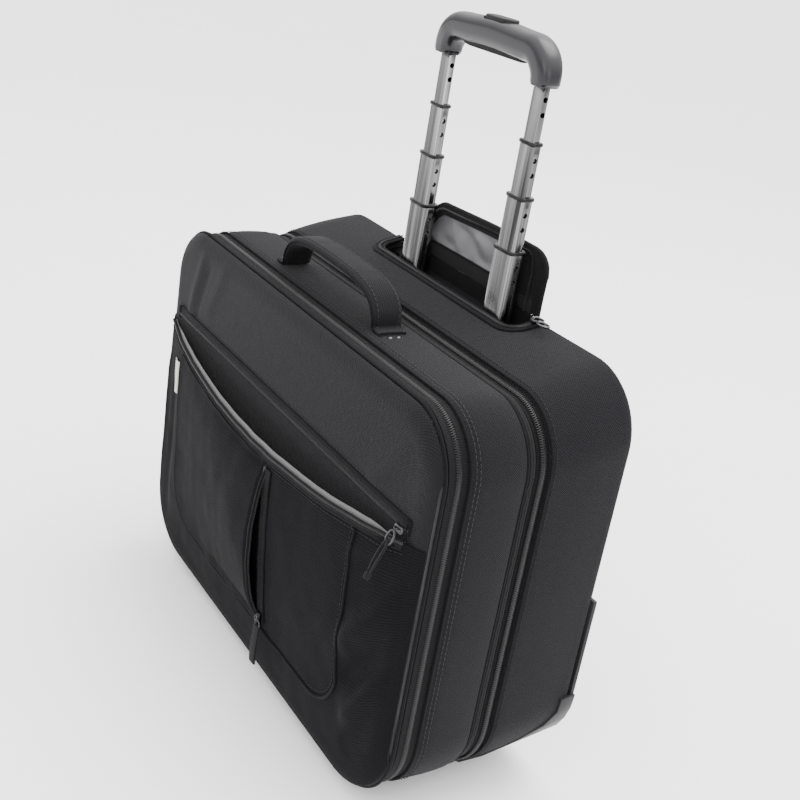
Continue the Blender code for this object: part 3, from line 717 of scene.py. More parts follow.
def slab(name, outline, low, high, axis="Z"):
    """An outline extruded along an axis, as a cutter or a plain part."""
    place = {"X": lambda a, b, t: (t, a, b), "Y": lambda a, b, t: (a, t, b),
             "Z": lambda a, b, t: (a, b, t)}[axis]
    mesh = bmesh.new()
    rows = [[mesh.verts.new(place(a, b, t)) for a, b in outline] for t in (low, high)]
    for i in range(len(outline)):
        j = (i + 1) % len(outline)
        mesh.faces.new((rows[0][i], rows[0][j], rows[1][j], rows[1][i]))
    mesh.faces.new(rows[0])
    mesh.faces.new(rows[1])
    bmesh.ops.recalc_face_normals(mesh, faces=mesh.faces)
    data = bpy.data.meshes.new(name)
    mesh.to_mesh(data)
    mesh.free()
    item = bpy.data.objects.new(name, data)
    bpy.context.scene.collection.objects.link(item)
    return item


def rounded(half, low, high, front, back, steps=8, middle=0.0):
    """A rounded rectangle's points; front and back are the radii at the low and the high side."""
    points = []
    for cx, cy, radius, start in ((half - back, high - back, back, 0), (-half + back, high - back, back, 90),
                                  (-half + front, low + front, front, 180),
                                  (half - front, low + front, front, 270)):
        for i in range(steps + 1):
            a = math.radians(start + 90 * i / steps)
            points.append((middle + cx + radius * math.cos(a), cy + radius * math.sin(a)))
    return points


def rear_top(y):
    return mix(TOP, REAR_TOP, min(max((y - MAIN_ZIP) / (BACK_Y - MAIN_ZIP), 0.0), 1.0))


def build_rear():
    first = MAIN_ZIP + 0.0056
    outside = [(first + 0.0006, 0.0042), (first, 0.0022), (first + 0.0004, 0.0006), (first + 0.0020, -0.0003)]
    outside += [(mix(first + 0.004, BACK_Y - 0.008, i / 8), -0.0006 - 0.0012 * math.sin(math.pi * i / 8))
                for i in range(9)]
    for i in range(1, 8):
        a = math.pi / 2 * i / 7
        outside.append((BACK_Y - BACK_ROUND + BACK_ROUND * math.sin(a),
                        BACK_ROUND * (1 - math.cos(a)) - 0.0004))
    for inset in (0.012, 0.030, 0.060, 0.100, 0.135):
        outside.append((BACK_Y + 0.0006, inset))
    inside = [(first + 0.001, CLOTH), (mix(first, BACK_Y, 0.4), CLOTH), (BACK_Y - 0.0050, CLOTH),
              (BACK_Y - 0.0026, 0.0070), (BACK_Y - 0.0026, 0.060), (BACK_Y - 0.0026, 0.135)]
    surface = Surface()
    count = 360
    rows = []
    for y, inset in outside:
        row = []
        for j in range(count + 1):
            point, away = around(j / count, y, inset)
            fade = smooth((y - first) / 0.01)
            row.append(list(point + away * 0.0008 * soft(point, 8.0, 5.0) * fade))
        rows.append(row)
    inner = [ring_row(y, inset) for y, inset in inside]
    surface.grid(rows, 0)
    surface.grid(inner, 1, True)
    surface.grid([inner[0], rows[0]], 0)
    surface.polygon(rows[-1][:-1], 0)
    surface.polygon(inner[-1][:-1], 1, True)
    cover = surface.object("rear_cover", ["nylon", "lining"], 50.0, closed=True)
    hole = rounded(HATCH_HALF, HATCH_FRONT, HATCH_BACK, 0.011, 0.011)
    boolean(cover, slab("hatch", hole, REAR_TOP - 0.022, REAR_TOP + 0.02))
    for sign in (-1, 1):
        low, high = sorted((sign * RECESS_INNER, sign * RECESS_OUTER))
        box = [(low, RECESS_FRONT), (high, RECESS_FRONT), (high, BACK_Y + 0.01), (low, BACK_Y + 0.01)]
        boolean(cover, slab("recess", box, 0.0, RECESS_TOP))
    cover.data.set_sharp_from_angle(angle=math.radians(50))
    ride(cover, "rear_case", "nylon", "rear_shell", "back_panel")
    piping = Surface()
    tube(piping, loop(BACK_Y + 0.0002, 0.0042), 0.0014, 8, True)
    tube(piping, loop(first + 0.0006, 0.0006), 0.0009, 8, True)
    ride(piping.object("rear_piping", ["trim"]), "rear_case", "trim")
    stitches("rear_stitches", [(loop(first + 0.0034, -0.0008), out_of_case, True),
                               (loop(BACK_Y + 0.0007, 0.0100), to_back, True)], "rear_case")
    for name, finish in (("channel_liner", "dark_lining"), ("well_plate", "plastic"),
                         ("tube_bracket", "plastic"),
                         ("back_board", "board"), ("release_yoke", "steel")):
        refined(name, finish, "rear_case" if name != "release_yoke" else "release", bevel=0.0003)


def refined(node, finish, body, bevel, angle=30.0):
    """A copy of a CAD node with merged points, rounded edges and a finish, which stands for the node."""
    work = bmesh.new()
    work.from_mesh(frame["nodes"][node].data)
    bmesh.ops.remove_doubles(work, verts=work.verts, dist=1e-5)
    bmesh.ops.dissolve_limit(work, angle_limit=math.radians(1.0), verts=work.verts, edges=work.edges)
    mesh = bpy.data.meshes.new(node)
    work.to_mesh(mesh)
    work.free()
    item = shown(f"{node}_part", mesh, [finish], angle)
    change = item.modifiers.new("round", "BEVEL")
    change.width, change.segments, change.limit_method = bevel, 2, "ANGLE"
    change.angle_limit, change.use_clamp_overlap = math.radians(angle), True
    change.harden_normals = False
    apply(item)
    item.data.set_sharp_from_angle(angle=math.radians(50))
    return ride(item, body, SLOTS[node], node)


SLOTS = {row["node"]: row["material_slot"] for row in frame["record"]["subparts"]}


def build_hatch():
    """The zip round the handle well: rolled edge, tape, coil, and the strip at the flap's foot."""
    def route(grow, corner, back, lift):
        steps = 14
        points = []
        half, front = HATCH_HALF + grow, HATCH_FRONT - grow
        points.append((half, back))
        for i in range(steps + 1):
            a = math.radians(-90 * i / steps)
            points.append((half - corner + corner * math.cos(a), front + corner + corner * math.sin(a)))
        for i in range(1, 24):
            points.append((mix(half - corner, -half + corner, i / 24), front))
        for i in range(steps + 1):
            a = math.radians(-90 - 90 * i / steps)
            points.append((-half + corner + corner * math.cos(a), front + corner + corner * math.sin(a)))
        points.append((-half, back))
        return [Vector((x, y, rear_top(y) + lift + 0.0013)) for x, y in points]

    end = HATCH_BACK - 0.0010
    band = Surface()
    layers = [(-0.0012, 0.0105, -0.0016), (-0.0006, 0.0108, 0.0006), (0.0016, 0.0125, 0.0016),
              (0.0046, 0.0155, 0.0017),
              (0.0062, 0.0170, 0.0006), (0.0062, 0.0170, -0.0010), (-0.0006, 0.0108, -0.0022),
              (-0.0012, 0.0105, -0.0016)]
    band.grid([[list(p) for p in route(grow, corner, end, lift)] for grow, corner, lift in layers], 0)
    ride(band.object("hatch_tape", ["tape"], 60.0, closed=True), "rear_case", "trim", "hatch_zip")
    beads = Surface()
    tube(beads, route(0.0066, 0.0175, end, 0.0006), 0.0015, 8)
    tube(beads, route(-0.0008, 0.0108, end, 0.0006), 0.0012, 8)
    ride(beads.object("hatch_piping", ["trim"]), "rear_case", "trim")
    path = route(0.0020, 0.0130, end, 0.0018)

    def outward(p):
        x = min(max(p.x, -HATCH_HALF + 0.011), HATCH_HALF - 0.011)
        away = Vector((p.x - x, min(p.y - HATCH_FRONT - 0.011, 0.0), 0.0))
        return away.normalized() if away.length > 1e-6 else Vector((0, -1, 0))

    coil("hatch_coil", path, to_top, outward, "rear_case", reach=0.0024)
    strip_z = [REAR_TOP + dz for dz in (-0.0120, -0.0040, -0.0010, 0.0010)]
    across = [-0.0955 + 0.191 * i / 30 for i in range(31)]
    joint = Surface()
    joint.quilt([[[x, BACK_Y - 0.0030, z] for x in across] for z in strip_z],
                [[[x, BACK_Y - 0.0018, z] for x in across] for z in strip_z], 0, 0)
    ride(joint.object("hatch_hinge", ["trim"], closed=True), "rear_case", "trim")
    stitches("hatch_stitches", [(route(0.0092, 0.0200, end, -0.0001), to_top, False)],
             "rear_case")


# Front lid
# Width and depth of the rounding at the lid's seam
EDGE, DEPTH = 0.016, 0.008


def inside(x, z):
    """How far a point of the lid's face lies inside its seam."""
    radius = TOP_RADIUS if z > (BASE + TOP) / 2 else BOTTOM_RADIUS
    dx, dz = abs(x) - (HALF - radius), max((BASE + radius) - z, z - (TOP - radius))
    if dx > 0 and dz > 0:
        return radius - math.hypot(dx, dz)
    return radius - max(dx, dz)


def lid_face(x, z):
    """Depth of the lid's face: rounded over at its seam, slightly stuffed in the middle."""
    t = min(max(inside(x, z) / EDGE, 0.0), 1.0)
    rounding = DEPTH * math.sqrt(max(1 - (1 - t) ** 2, 0.0))
    full = 0.0014 * smooth(inside(x, z) / 0.07)
    return SEAM_Y - rounding - full


def span(x, low, high, radius_low, radius_high):
    """The lowest and highest point of the lid's outline at x, between two levels."""
    def lift(radius):
        reach = abs(x) - (HALF - radius)
        return radius - math.sqrt(max(radius ** 2 - reach ** 2, 0.0)) if reach > 0 else 0.0

    return low + lift(radius_low), high - lift(radius_high)


def columns(half, count):
    return [half * math.sin(math.pi / 2 * (2 * i / count - 1)) for i in range(count + 1)]


# Soft ridges and creases: from x, z to x, z, then width and height
RIDGES = [
    (0.158, 0.128, 0.214, 0.190, 0.012, 0.0030), (0.150, 0.080, 0.208, 0.150, 0.010, -0.0026),
    (0.174, 0.072, 0.214, 0.132, 0.009, 0.0024), (0.178, 0.050, 0.212, 0.092, 0.008, -0.0016),
    (0.120, 0.060, 0.172, 0.100, 0.012, 0.0014), (0.140, 0.190, 0.196, 0.226, 0.008, 0.0012),
    (-0.206, 0.080, -0.200, 0.200, 0.006, 0.0012), (-0.186, 0.060, -0.176, 0.180, 0.008, -0.0010),
    (-0.100, 0.040, 0.020, 0.034, 0.008, 0.0008), (0.060, 0.150, 0.110, 0.196, 0.014, 0.0010),
]
LID_CREASES = [
    (-0.178, 0.250, -0.160, 0.306, 0.006, 0.0014), (-0.165, 0.250, -0.146, 0.300, 0.005, -0.0012),
    (-0.140, 0.262, -0.116, 0.310, 0.008, 0.0010), (0.150, 0.256, 0.186, 0.290, 0.010, 0.0008),
]


def folds(x, z, ridges):
    """Sum of soft ridges, each along a line from one point to another."""
    total = 0.0
    for x0, z0, x1, z1, width, height in ridges:
        dx, dz = x1 - x0, z1 - z0
        t = min(max(((x - x0) * dx + (z - z0) * dz) / (dx * dx + dz * dz), -0.25), 1.25)
        away = math.hypot(x - x0 - dx * t, z - z0 - dz * t)
        ends = smooth((t + 0.25) / 0.4) * smooth((1.25 - t) / 0.4)
        total += 2.1 * height * math.exp(-((away / width * 1.2) ** 2)) * ends
    return total


# The pocket's mouth: its height at the ends, its sag, half its width, and how far the pocket bulges
MOUTH = BASE + 0.2235
MOUTH_SAG = 0.0170
MOUTH_HALF = 0.203
POCKET_BULGE = 0.0185


def mouth(x):
    """Height of the pocket's free edge, which sags between the zip's ends."""
    return MOUTH - MOUTH_SAG * max(1 - (x / MOUTH_HALF) ** 2, 0.0)


def pocket_face(x, z):
    """Depth of the front pocket's cloth."""
    low = BASE + 0.010
    across = max(0.0, 1 - (x / 0.212) ** 2) ** 0.8
    t = min(max((z - low) / (MOUTH - low), 0.0), 1.1)
    up = math.sin(min(t, 1.0) * math.pi * 0.60) ** 1.15
    edge = smooth(inside(x, z) / 0.030)
    broad, fine = noise.noise(Vector((x * 22, 3.1, z * 18))), noise.noise(Vector((x * 60, 8.0, z * 50)))
    uneven = 0.0010 * broad + 0.0005 * fine
    calm = 0.15 + 0.85 * smooth((abs(x) - 0.150) / 0.022)
    stuffed = POCKET_BULGE * across * up
    fold = max(calm * folds(x, z, RIDGES) + uneven, -0.6 * stuffed)
    return lid_face(x, z) - 0.0012 - stuffed - fold * edge


def build_lid():
    surface = Surface()
    count, rows = 120, 84
    xs = columns(HALF - 0.0004, count)
    shares = [(1 - math.cos(math.pi * j / rows)) / 2 for j in range(rows + 1)]

    def face(offset, inset):
        made = []
        for t in shares:
            row = []
            for x in xs:
                x = x * (HALF - inset) / HALF
                low, high = span(x, BASE + inset, TOP - inset, BOTTOM_RADIUS - inset, TOP_RADIUS - inset)
                z = mix(low, high, t)
                crease = 0.5 * folds(x, z, LID_CREASES) * smooth(inside(x, z) / 0.02)
                row.append([x, lid_face(x, z) + offset - crease, z])
            made.append(row)
        return made

    surface.quilt(face(0.0, 0.0002), face(0.0040, 0.0045))
    item = surface.object("lid_cover", ["nylon", "lining"], 50.0, closed=True)
    ride(item, "front_lid", "nylon", "front_panel")
    side = Surface()
    outer = [(SEAM_Y + 0.0002, 0.0003), (SEAM_Y + 0.0030, 0.0004), (SEAM_Y + 0.0060, 0.0010),
             (FRONT_ZIP - 0.0003, 0.0014)]
    inner = [(FRONT_ZIP - 0.0003, 0.0030), (SEAM_Y + 0.0040, 0.0040), (SEAM_Y - 0.0012, 0.0046)]
    profile = outer + inner
    side.grid([ring_row(y, inset) for y, inset in profile], 0)
    for k in range(4 * 360, 6 * 360):
        side.slots[k] = 1
    ride(side.object("lid_tape", ["tape", "lining"], 50.0), "front_lid", "trim")
    beads = Surface()
    tube(beads, loop(SEAM_Y + 0.0010, -0.0004), 0.0014, 8, True)
    tube(beads, loop(SEAM_Y + 0.0038, 0.0000), 0.0007, 6, True)
    ride(beads.object("lid_piping", ["trim"]), "front_lid", "trim")


def build_pocket():
    """The front pocket's cloth, open at its mouth, with its lining, bound edge and half of its zip."""
    count, rows = 150, 96
    xs = columns(HALF - 0.0010, count)
    shares = [1 - math.cos(math.pi / 2 * j / rows) for j in range(rows + 1)]

    def layer(offset):
        made = []
        for t in shares:
            row = []
            for x in xs:
                low = span(x, BASE + 0.0008, TOP, BOTTOM_RADIUS, TOP_RADIUS)[0]
                z = mix(low, mouth(x), t)
                row.append([x, pocket_face(x, z) + offset, z])
            made.append(row)
        return made

    outer, inner = layer(0.0), layer(0.0010)
    surface = Surface().quilt(outer, inner)
    cloth = ride(surface.object("pocket_cloth", ["nylon_rib_painted_shade", "lining"], 60.0, closed=True), "front_lid",
                 "nylon",
                 "front_pocket")
    rim, bound = Surface(), Surface()
    edge = [-0.2035 + 0.4070 * i / 160 for i in range(161)]

    def strip(low, high, proud, thick, taper=0.0):
        made = []
        for share, depth in ((0, 0), (1, 0), (1, 1), (0, 1), (0, 0)):
            made.append([[x, pocket_face(x, mouth(x)) - proud + thick * depth,
                          mouth(x) + mix(low, mix(high, high * smooth((0.196 - abs(x)) / 0.03), taper),
                                         share)]
                         for x in edge])
        return made

    rim.grid(strip(-0.001, 0.0046, -0.0012, 0.0008, 1.0), 0)
    lining = ride(rim.object("pocket_rim", ["rim"], closed=True), "front_lid", "lining")
    bound.grid(strip(-0.0052, 0.0006, 0.0006, 0.0014), 0)
    tube(bound, [(x, pocket_face(x, mouth(x)) - 0.0006, mouth(x) - 0.0054) for x in edge], 0.0007, 6)
    tube(bound, [(x, pocket_face(x, mouth(x)) - 0.0004, mouth(x) + 0.0006) for x in edge], 0.0009, 6)
    binding = ride(bound.object("pocket_binding", ["tape"], closed=True), "front_lid", "trim")
    teeth = [Vector((x, pocket_face(x, mouth(x)) - 0.0010, mouth(x) + 0.0004)) for x in edge]
    coil("pocket_coil_low", teeth, to_front, to_floor, "front_lid",
         reach=0.0020, radius=0.0004, pitch=0.0016)
    stitches("pocket_stitches",
             [([(x, pocket_face(x, mouth(x) - 0.0085) - 0.0001, mouth(x) - 0.0085) for x in edge],
                                  to_front, False)], "front_lid")


def build_pocket_zip():
    """The zip's upper half on the lid, over the pocket's mouth."""
    left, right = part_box("pocket_zip")[0].x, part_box("pocket_zip")[1].x
    xs = [mix(left, right, i / 120) for i in range(121)]

    def face(x, z, proud):
        return [x, lid_face(x, z) - proud, z]

    surface = Surface()
    heights = [(-0.0016, 0.0), (-0.0016, 0.0012), (0.0040, 0.0013), (0.0060, 0.0008), (0.0064, 0.0),
               (-0.0016, 0.0)]
    surface.grid([[face(x, ZIP_LINE + dz, proud) for x in xs] for dz, proud in heights], 0)
    for k in range(2 * 120, 4 * 120):
        surface.slots[k] = 1
    tube(surface, [face(x, ZIP_LINE + 0.0066, 0.0006) for x in xs], 0.0009, 6, slot=1)
    for x in (left, right):
        tube(surface, [face(x, ZIP_LINE + dz, 0.0010) for dz in (-0.004, 0.0, 0.004, 0.007)], 0.0020, 8,
             slot=1, flat=0.5)
    ride(surface.object("pocket_zip_tape", ["tape", "trim"], closed=True), "front_lid", "trim", "pocket_zip")
    teeth = [Vector(face(x, ZIP_LINE - 0.0008, 0.0012)) for x in xs]
    coil("pocket_coil_high", teeth, to_front, to_top, "front_lid",
         reach=0.0022, radius=0.0004, pitch=0.0016)
    stitches("pocket_zip_stitches", [([face(x, ZIP_LINE + 0.0092, 0.0002) for x in xs],
                                      to_front, False)], "front_lid")


# Quick pocket
QUICK_LEFT, QUICK_RIGHT, SLIT = -0.155, 0.158, 0.0385
QUICK_BASE = BASE + 0.050


def quick_route(shrink=0.0):
    """The U of piping, from the mouth's left end down, along and up to its right end."""
    left, right, low = QUICK_LEFT + shrink, QUICK_RIGHT - shrink, QUICK_BASE + shrink
    wide, tight = 0.045 - shrink, 0.036 - shrink
    points = [(left, mix(mouth(left) - 0.007, low + wide, i / 40)) for i in range(41)]
    points += [(left + wide - wide * math.cos(a), low + wide - wide * math.sin(a))
               for a in (math.pi / 2 * i / 14 for i in range(1, 15))]
    points += [(mix(left + wide, right - tight, i / 50), low) for i in range(1, 51)]
    points += [(right - tight + tight * math.sin(a), low + tight - tight * math.cos(a))
               for a in (math.pi / 2 * i / 14 for i in range(1, 15))]
    points += [(right, mix(low + tight, mouth(right) - 0.007, i / 40)) for i in range(1, 41)]
    return points


def quick_low(x):
    """The quick pocket's lower edge at x."""
    wide = 0.045
    reach = (QUICK_LEFT + wide) - x
    return QUICK_BASE + (wide - math.sqrt(max(wide ** 2 - reach ** 2, 0.0)) if reach > 0 else 0.0)


def quick_lift(x, z):
    """How far the loose side of the quick pocket stands off, most at the slit."""
    t = min(max((z - QUICK_BASE - 0.012) / (mouth(x) - 0.010 - QUICK_BASE - 0.012), 0.0), 1.0)
    across = smooth((x - QUICK_LEFT) / (SLIT - QUICK_LEFT))
    return 0.0115 * across ** 1.6 * math.sin(math.pi * t ** 0.8) ** 0.7


def quick_face(x, z):
    crease = 0.0010 * noise.noise(Vector((x * 30, 5.5, z * 16)))
    return pocket_face(x, z) - 0.0016 - quick_lift(x, z) - crease * smooth((x - QUICK_LEFT) / 0.03)


def build_quick():
    count, rows = 90, 80
    xs = [mix(QUICK_LEFT, SLIT, math.sin(math.pi / 2 * i / count)) for i in range(count + 1)]

    def layer(offset):
        made = []
        for j in range(rows + 1):
            row = []
            for x in xs:
                z = mix(quick_low(x), mouth(x) - 0.0062, j / rows)
                roll = 0.0022 * smooth((x - SLIT + 0.006) / 0.006)
                row.append([x, quick_face(x, z) + offset + roll * (1 if offset == 0 else 0), z])
            made.append(row)
        return made

    front, back = layer(0.0), layer(0.0012)
    surface = Surface()
    surface.quilt(front, back)
    cloth = ride(surface.object("quick_cloth", ["nylon_rib_painted_shade", "dark_lining"], 60.0, closed=True), "front_lid",
                 "nylon",
                 "quick_pocket")
    base = Surface()
    wide = [mix(-0.070, SLIT + 0.0005, i / 40) for i in range(41)]
    base.grid([[[x, pocket_face(x, z) - 0.0006, z] for x in wide]
               for z in [mix(QUICK_BASE + 0.002, mouth(0.0) - 0.008, j / 50) for j in range(51)]], 0)
    ride(base.object("quick_lining", ["dark_lining"]), "front_lid", "nylon")
    heights = [mix(QUICK_BASE + 0.010, mouth(SLIT) - 0.010, i / 60) for i in range(61)]
    bands = Surface()
    inner = SLIT - 0.001
    bands.grid([[[inner + dx, pocket_face(inner + dx, z) - proud, z] for z in heights]
                for dx, proud in ((0.0, 0.0), (0.0, 0.0014), (0.0062, 0.0016), (0.0078, 0.0010),
                                  (0.0078, 0.0))], 0)
    tube(bands, [(inner + 0.0084, pocket_face(inner, z) - 0.0006, z) for z in heights], 0.0009, 6, slot=1)
    tube(bands, [(SLIT, quick_face(SLIT, z) + 0.0012, z) for z in heights], 0.0013, 6, slot=1)
    ride(bands.object("quick_zip_tape", ["tape", "trim"]), "front_lid", "trim")
    coil("quick_coil_fixed", [Vector((inner, pocket_face(inner, z) - 0.0016, z)) for z in heights],
         to_front, to_right, "front_lid", reach=0.0022, radius=0.0004, pitch=0.0016)
    coil("quick_coil_loose", [Vector((SLIT + 0.0006, quick_face(SLIT, z) + 0.0030, z)) for z in heights],
         to_right, to_front, "front_lid", reach=0.0016, radius=0.0004,
         pitch=0.0016)
    piping = Surface()
    tube(piping, [(x, pocket_face(x, z) - 0.0008, z) for x, z in quick_route()], 0.0012, 8)
    ride(piping.object("quick_piping", ["trim"]), "front_lid", "trim")
    inner_row = [Vector((x, (quick_face(x, z) if x < SLIT else pocket_face(x, z)) - 0.0001, z))
                 for x, z in quick_route(shrink=0.0042)]
    stitches("quick_stitches", [(inner_row, to_front, False)], "front_lid")


def build_label():
    """A plain folded tag sewn into the pocket's left side."""
    low, high = (corner + Vector((0.008, 0.0, 0.0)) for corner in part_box("name_label"))
    surface = Surface()
    rows = []
    for i in range(13):
        z = mix(low.z, high.z, i / 12)
        x0, x1 = low.x, high.x - 0.001
        row = []
        for k in range(9):
            x = mix(x0, x1, k / 8)
            row.append([x, pocket_face(x, z) - 0.0008 - 0.0012 * math.sin(math.pi * k / 8), z])
        rows.append(row)
    surface.grid(rows, 0)
    surface.grid([[[x, y + 0.0007, z] for x, y, z in row] for row in rows], 0, True)
    tag = ride(surface.object("label_tag", ["label"]), "front_lid", "label", "name_label")
    tag.modifiers.new("rim", "SOLIDIFY").thickness = 0.0003
    apply(tag)
    path = [Vector((low.x + 0.0012, pocket_face(low.x, mix(low.z, high.z, i / 8)) - 0.0014,
                    mix(low.z, high.z, i / 8)))
            for i in range(9)]
    stitches("label_stitches", [(path, to_front, False)], "front_lid", "label", "label",
             pitch=0.0030, length=0.0022, radius=0.00025)


# Carry handle
def strap_line():
    """Centre line of the carry handle's lower side, foot to foot, as points in X and Z."""
    low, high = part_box("carry_handle")
    points = [(low.x - 0.002, TOP + 0.0008), (low.x + 0.006, TOP + 0.0009), (low.x + 0.0105, TOP + 0.0030),
              (low.x + 0.0145, TOP + 0.0110), (low.x + 0.0215, TOP + 0.0200), (low.x + 0.036, TOP + 0.0255),
              (low.x + 0.060, TOP + 0.0275), (low.x + 0.086, TOP + 0.0275), (high.x - 0.056, TOP + 0.0270),
              (high.x - 0.034, TOP + 0.0245), (high.x - 0.0195, TOP + 0.0190),
              (high.x - 0.0120, TOP + 0.0100),
              (high.x - 0.0085, TOP + 0.0030), (high.x - 0.0040, TOP + 0.0009),
              (high.x + 0.003, TOP + 0.0008)]
    return smooth_line([(x, 0.0, z) for x, z in points], 84)


def smooth_line(points, count):
    """Points on a Catmull-Rom curve through the given ones."""
    points = [Vector(p) for p in points]
    result = []
    for i in range(count + 1):
        at = (len(points) - 1) * i / count
        k = min(int(at), len(points) - 2)
        t = at - k
        p = [points[min(max(k + d, 0), len(points) - 1)] for d in (-1, 0, 1, 2)]
        result.append(0.5 * (2 * p[1] + (p[2] - p[0]) * t + (2 * p[0] - 5 * p[1] + 4 * p[2] - p[3]) * t ** 2
                             + (3 * p[1] - p[0] - 3 * p[2] + p[3]) * t ** 3))
    return result


def build_strap():
    low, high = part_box("carry_handle")
    middle = (low.y + high.y) / 2
    line = strap_line()
    surface, edges = Surface(), [[], []]
    stitch_rows = [[], []]
    n = len(line) - 1
    rows = []
    for i, point in enumerate(line):
        along = (line[min(i + 1, n)] - line[max(i - 1, 0)]).normalized()
        up = Vector((-along.z, 0.0, along.x))
        share = i / n
        padding = smooth((share - 0.14) / 0.10) * smooth((0.86 - share) / 0.10)
        wide = mix(0.0118, 0.0126, padding)
        thick = mix(0.0034, 0.0082, padding)
        wrinkle = 0.0004 * noise.noise(Vector((point.x * 90, 2.0, 4.0))) * padding
        row = []
        for k in range(25):
            a = TAU * k / 24
            side = squared(math.cos(a), 0.45) * wide
            rise = squared(math.sin(a), 0.62)
            height = thick * (0.5 + 0.5 * rise) + wrinkle * max(rise, 0)
            row.append(list(Vector((point.x, middle - side, point.z)) + up * height))
        rows.append(row)
        for e, sign in enumerate((-1, 1)):
            edges[e].append(Vector((point.x, middle + sign * wide * 0.985, point.z)) + up * thick * 0.5)
            stitch_rows[e].append(Vector((point.x, middle + sign * (wide - 0.0034),
                                          point.z)) + up * (thick * 0.985))
    surface.lofted(rows)
    pad = ride(surface.object("carry_pad", ["strap"], 60.0, closed=True), "middle_case", "nylon",
               "carry_handle")
    beads = Surface()
    for edge in edges:
        tube(beads, edge[6:-6], 0.0010, 6)
    ride(beads.object("carry_binding", ["trim"]), "middle_case", "trim")
    upright = {}
    for row in stitch_rows:
        for a, b in zip(row, row[1:]):
            upright[round(a.x, 4)] = Vector((-(b - a).z, 0, (b - a).x)).normalized()

    def up_of(p):
        return upright[min(upright, key=lambda x: abs(x - p.x))]

    stitches("carry_stitches", [(row, up_of, False) for row in stitch_rows], "middle_case",
             finish="thread_light")
    pads = Surface()
    for x in (low.x + 0.001, high.x):
        ring = rounded(0.0062, -0.0122, 0.0122, 0.002, 0.002, 5)
        layers = [(1.0, 0.0), (1.0, 0.0008), (0.94, 0.0012)]
        made = [[[x + a * s, middle + b * s, TOP + h] for a, b in ring + ring[:1]] for s, h in layers]
        pads.grid(made, 0)
        pads.polygon(made[-1][:-1], 0)
    ride(pads.object("carry_foot_pads", ["trim"], 50.0), "middle_case", "trim")
    rivets = Surface()
    for x in (low.x - 0.0065, high.x + 0.0075):
        for dy in (-0.0045, 0.0025):
            dome(rivets, Vector((x, middle + dy, TOP + 0.0016)), Vector((0, 0, 1)), 0.0020, 0.0010)
    ride(rivets.object("carry_rivets", ["bright"]), "middle_case", "steel")


def dome(surface, place, up, radius, rise, sides=16):
    """A low round head."""
    side = up.orthogonal().normalized()
    other = up.cross(side)
    rows = []
    for share, height in ((1.0, -0.6), (1.0, 0.0), (0.9, 0.45), (0.65, 0.8), (0.3, 0.97), (0.02, 1.0)):
        rows.append([list(place + (side * math.cos(TAU * k / sides) + other * math.sin(TAU * k / sides))
                          * radius * share
                          + up * rise * height) for k in range(sides + 1)])
    surface.grid(rows)


# Flap over the handle well
FLAP_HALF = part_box("hatch_flap")[1].x - 0.0030


def flap_top(x):
    """Height of the flap's upper edge: high in the middle, rounded at the right and drooping at the left."""
    t = x / FLAP_HALF
    right = 0.016 * (1 - math.sqrt(max(1 - max((t - 0.78) / 0.22, 0.0) ** 2, 0.0)))
    left = 0.040 * smooth((-t - 0.50) / 0.50) ** 1.3
    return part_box("hatch_flap")[1].z - 0.0045 - right - left - 0.0025 * smooth((0.4 - t) / 1.2)


def flap_y(x, z, side=0.0):
    """Depth of the flap, which leans and rolls a little."""
    low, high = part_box("hatch_flap")
    up = (z - low.z) / (high.z - low.z)
    wave = 0.0005 * math.sin(x * 34 + 0.6) * up + 0.0004 * noise.noise(Vector((x * 26, 1.7, z * 24)))
    lean = 0.0020 * up ** 2
    return (low.y + high.y) / 2 + lean + wave + side


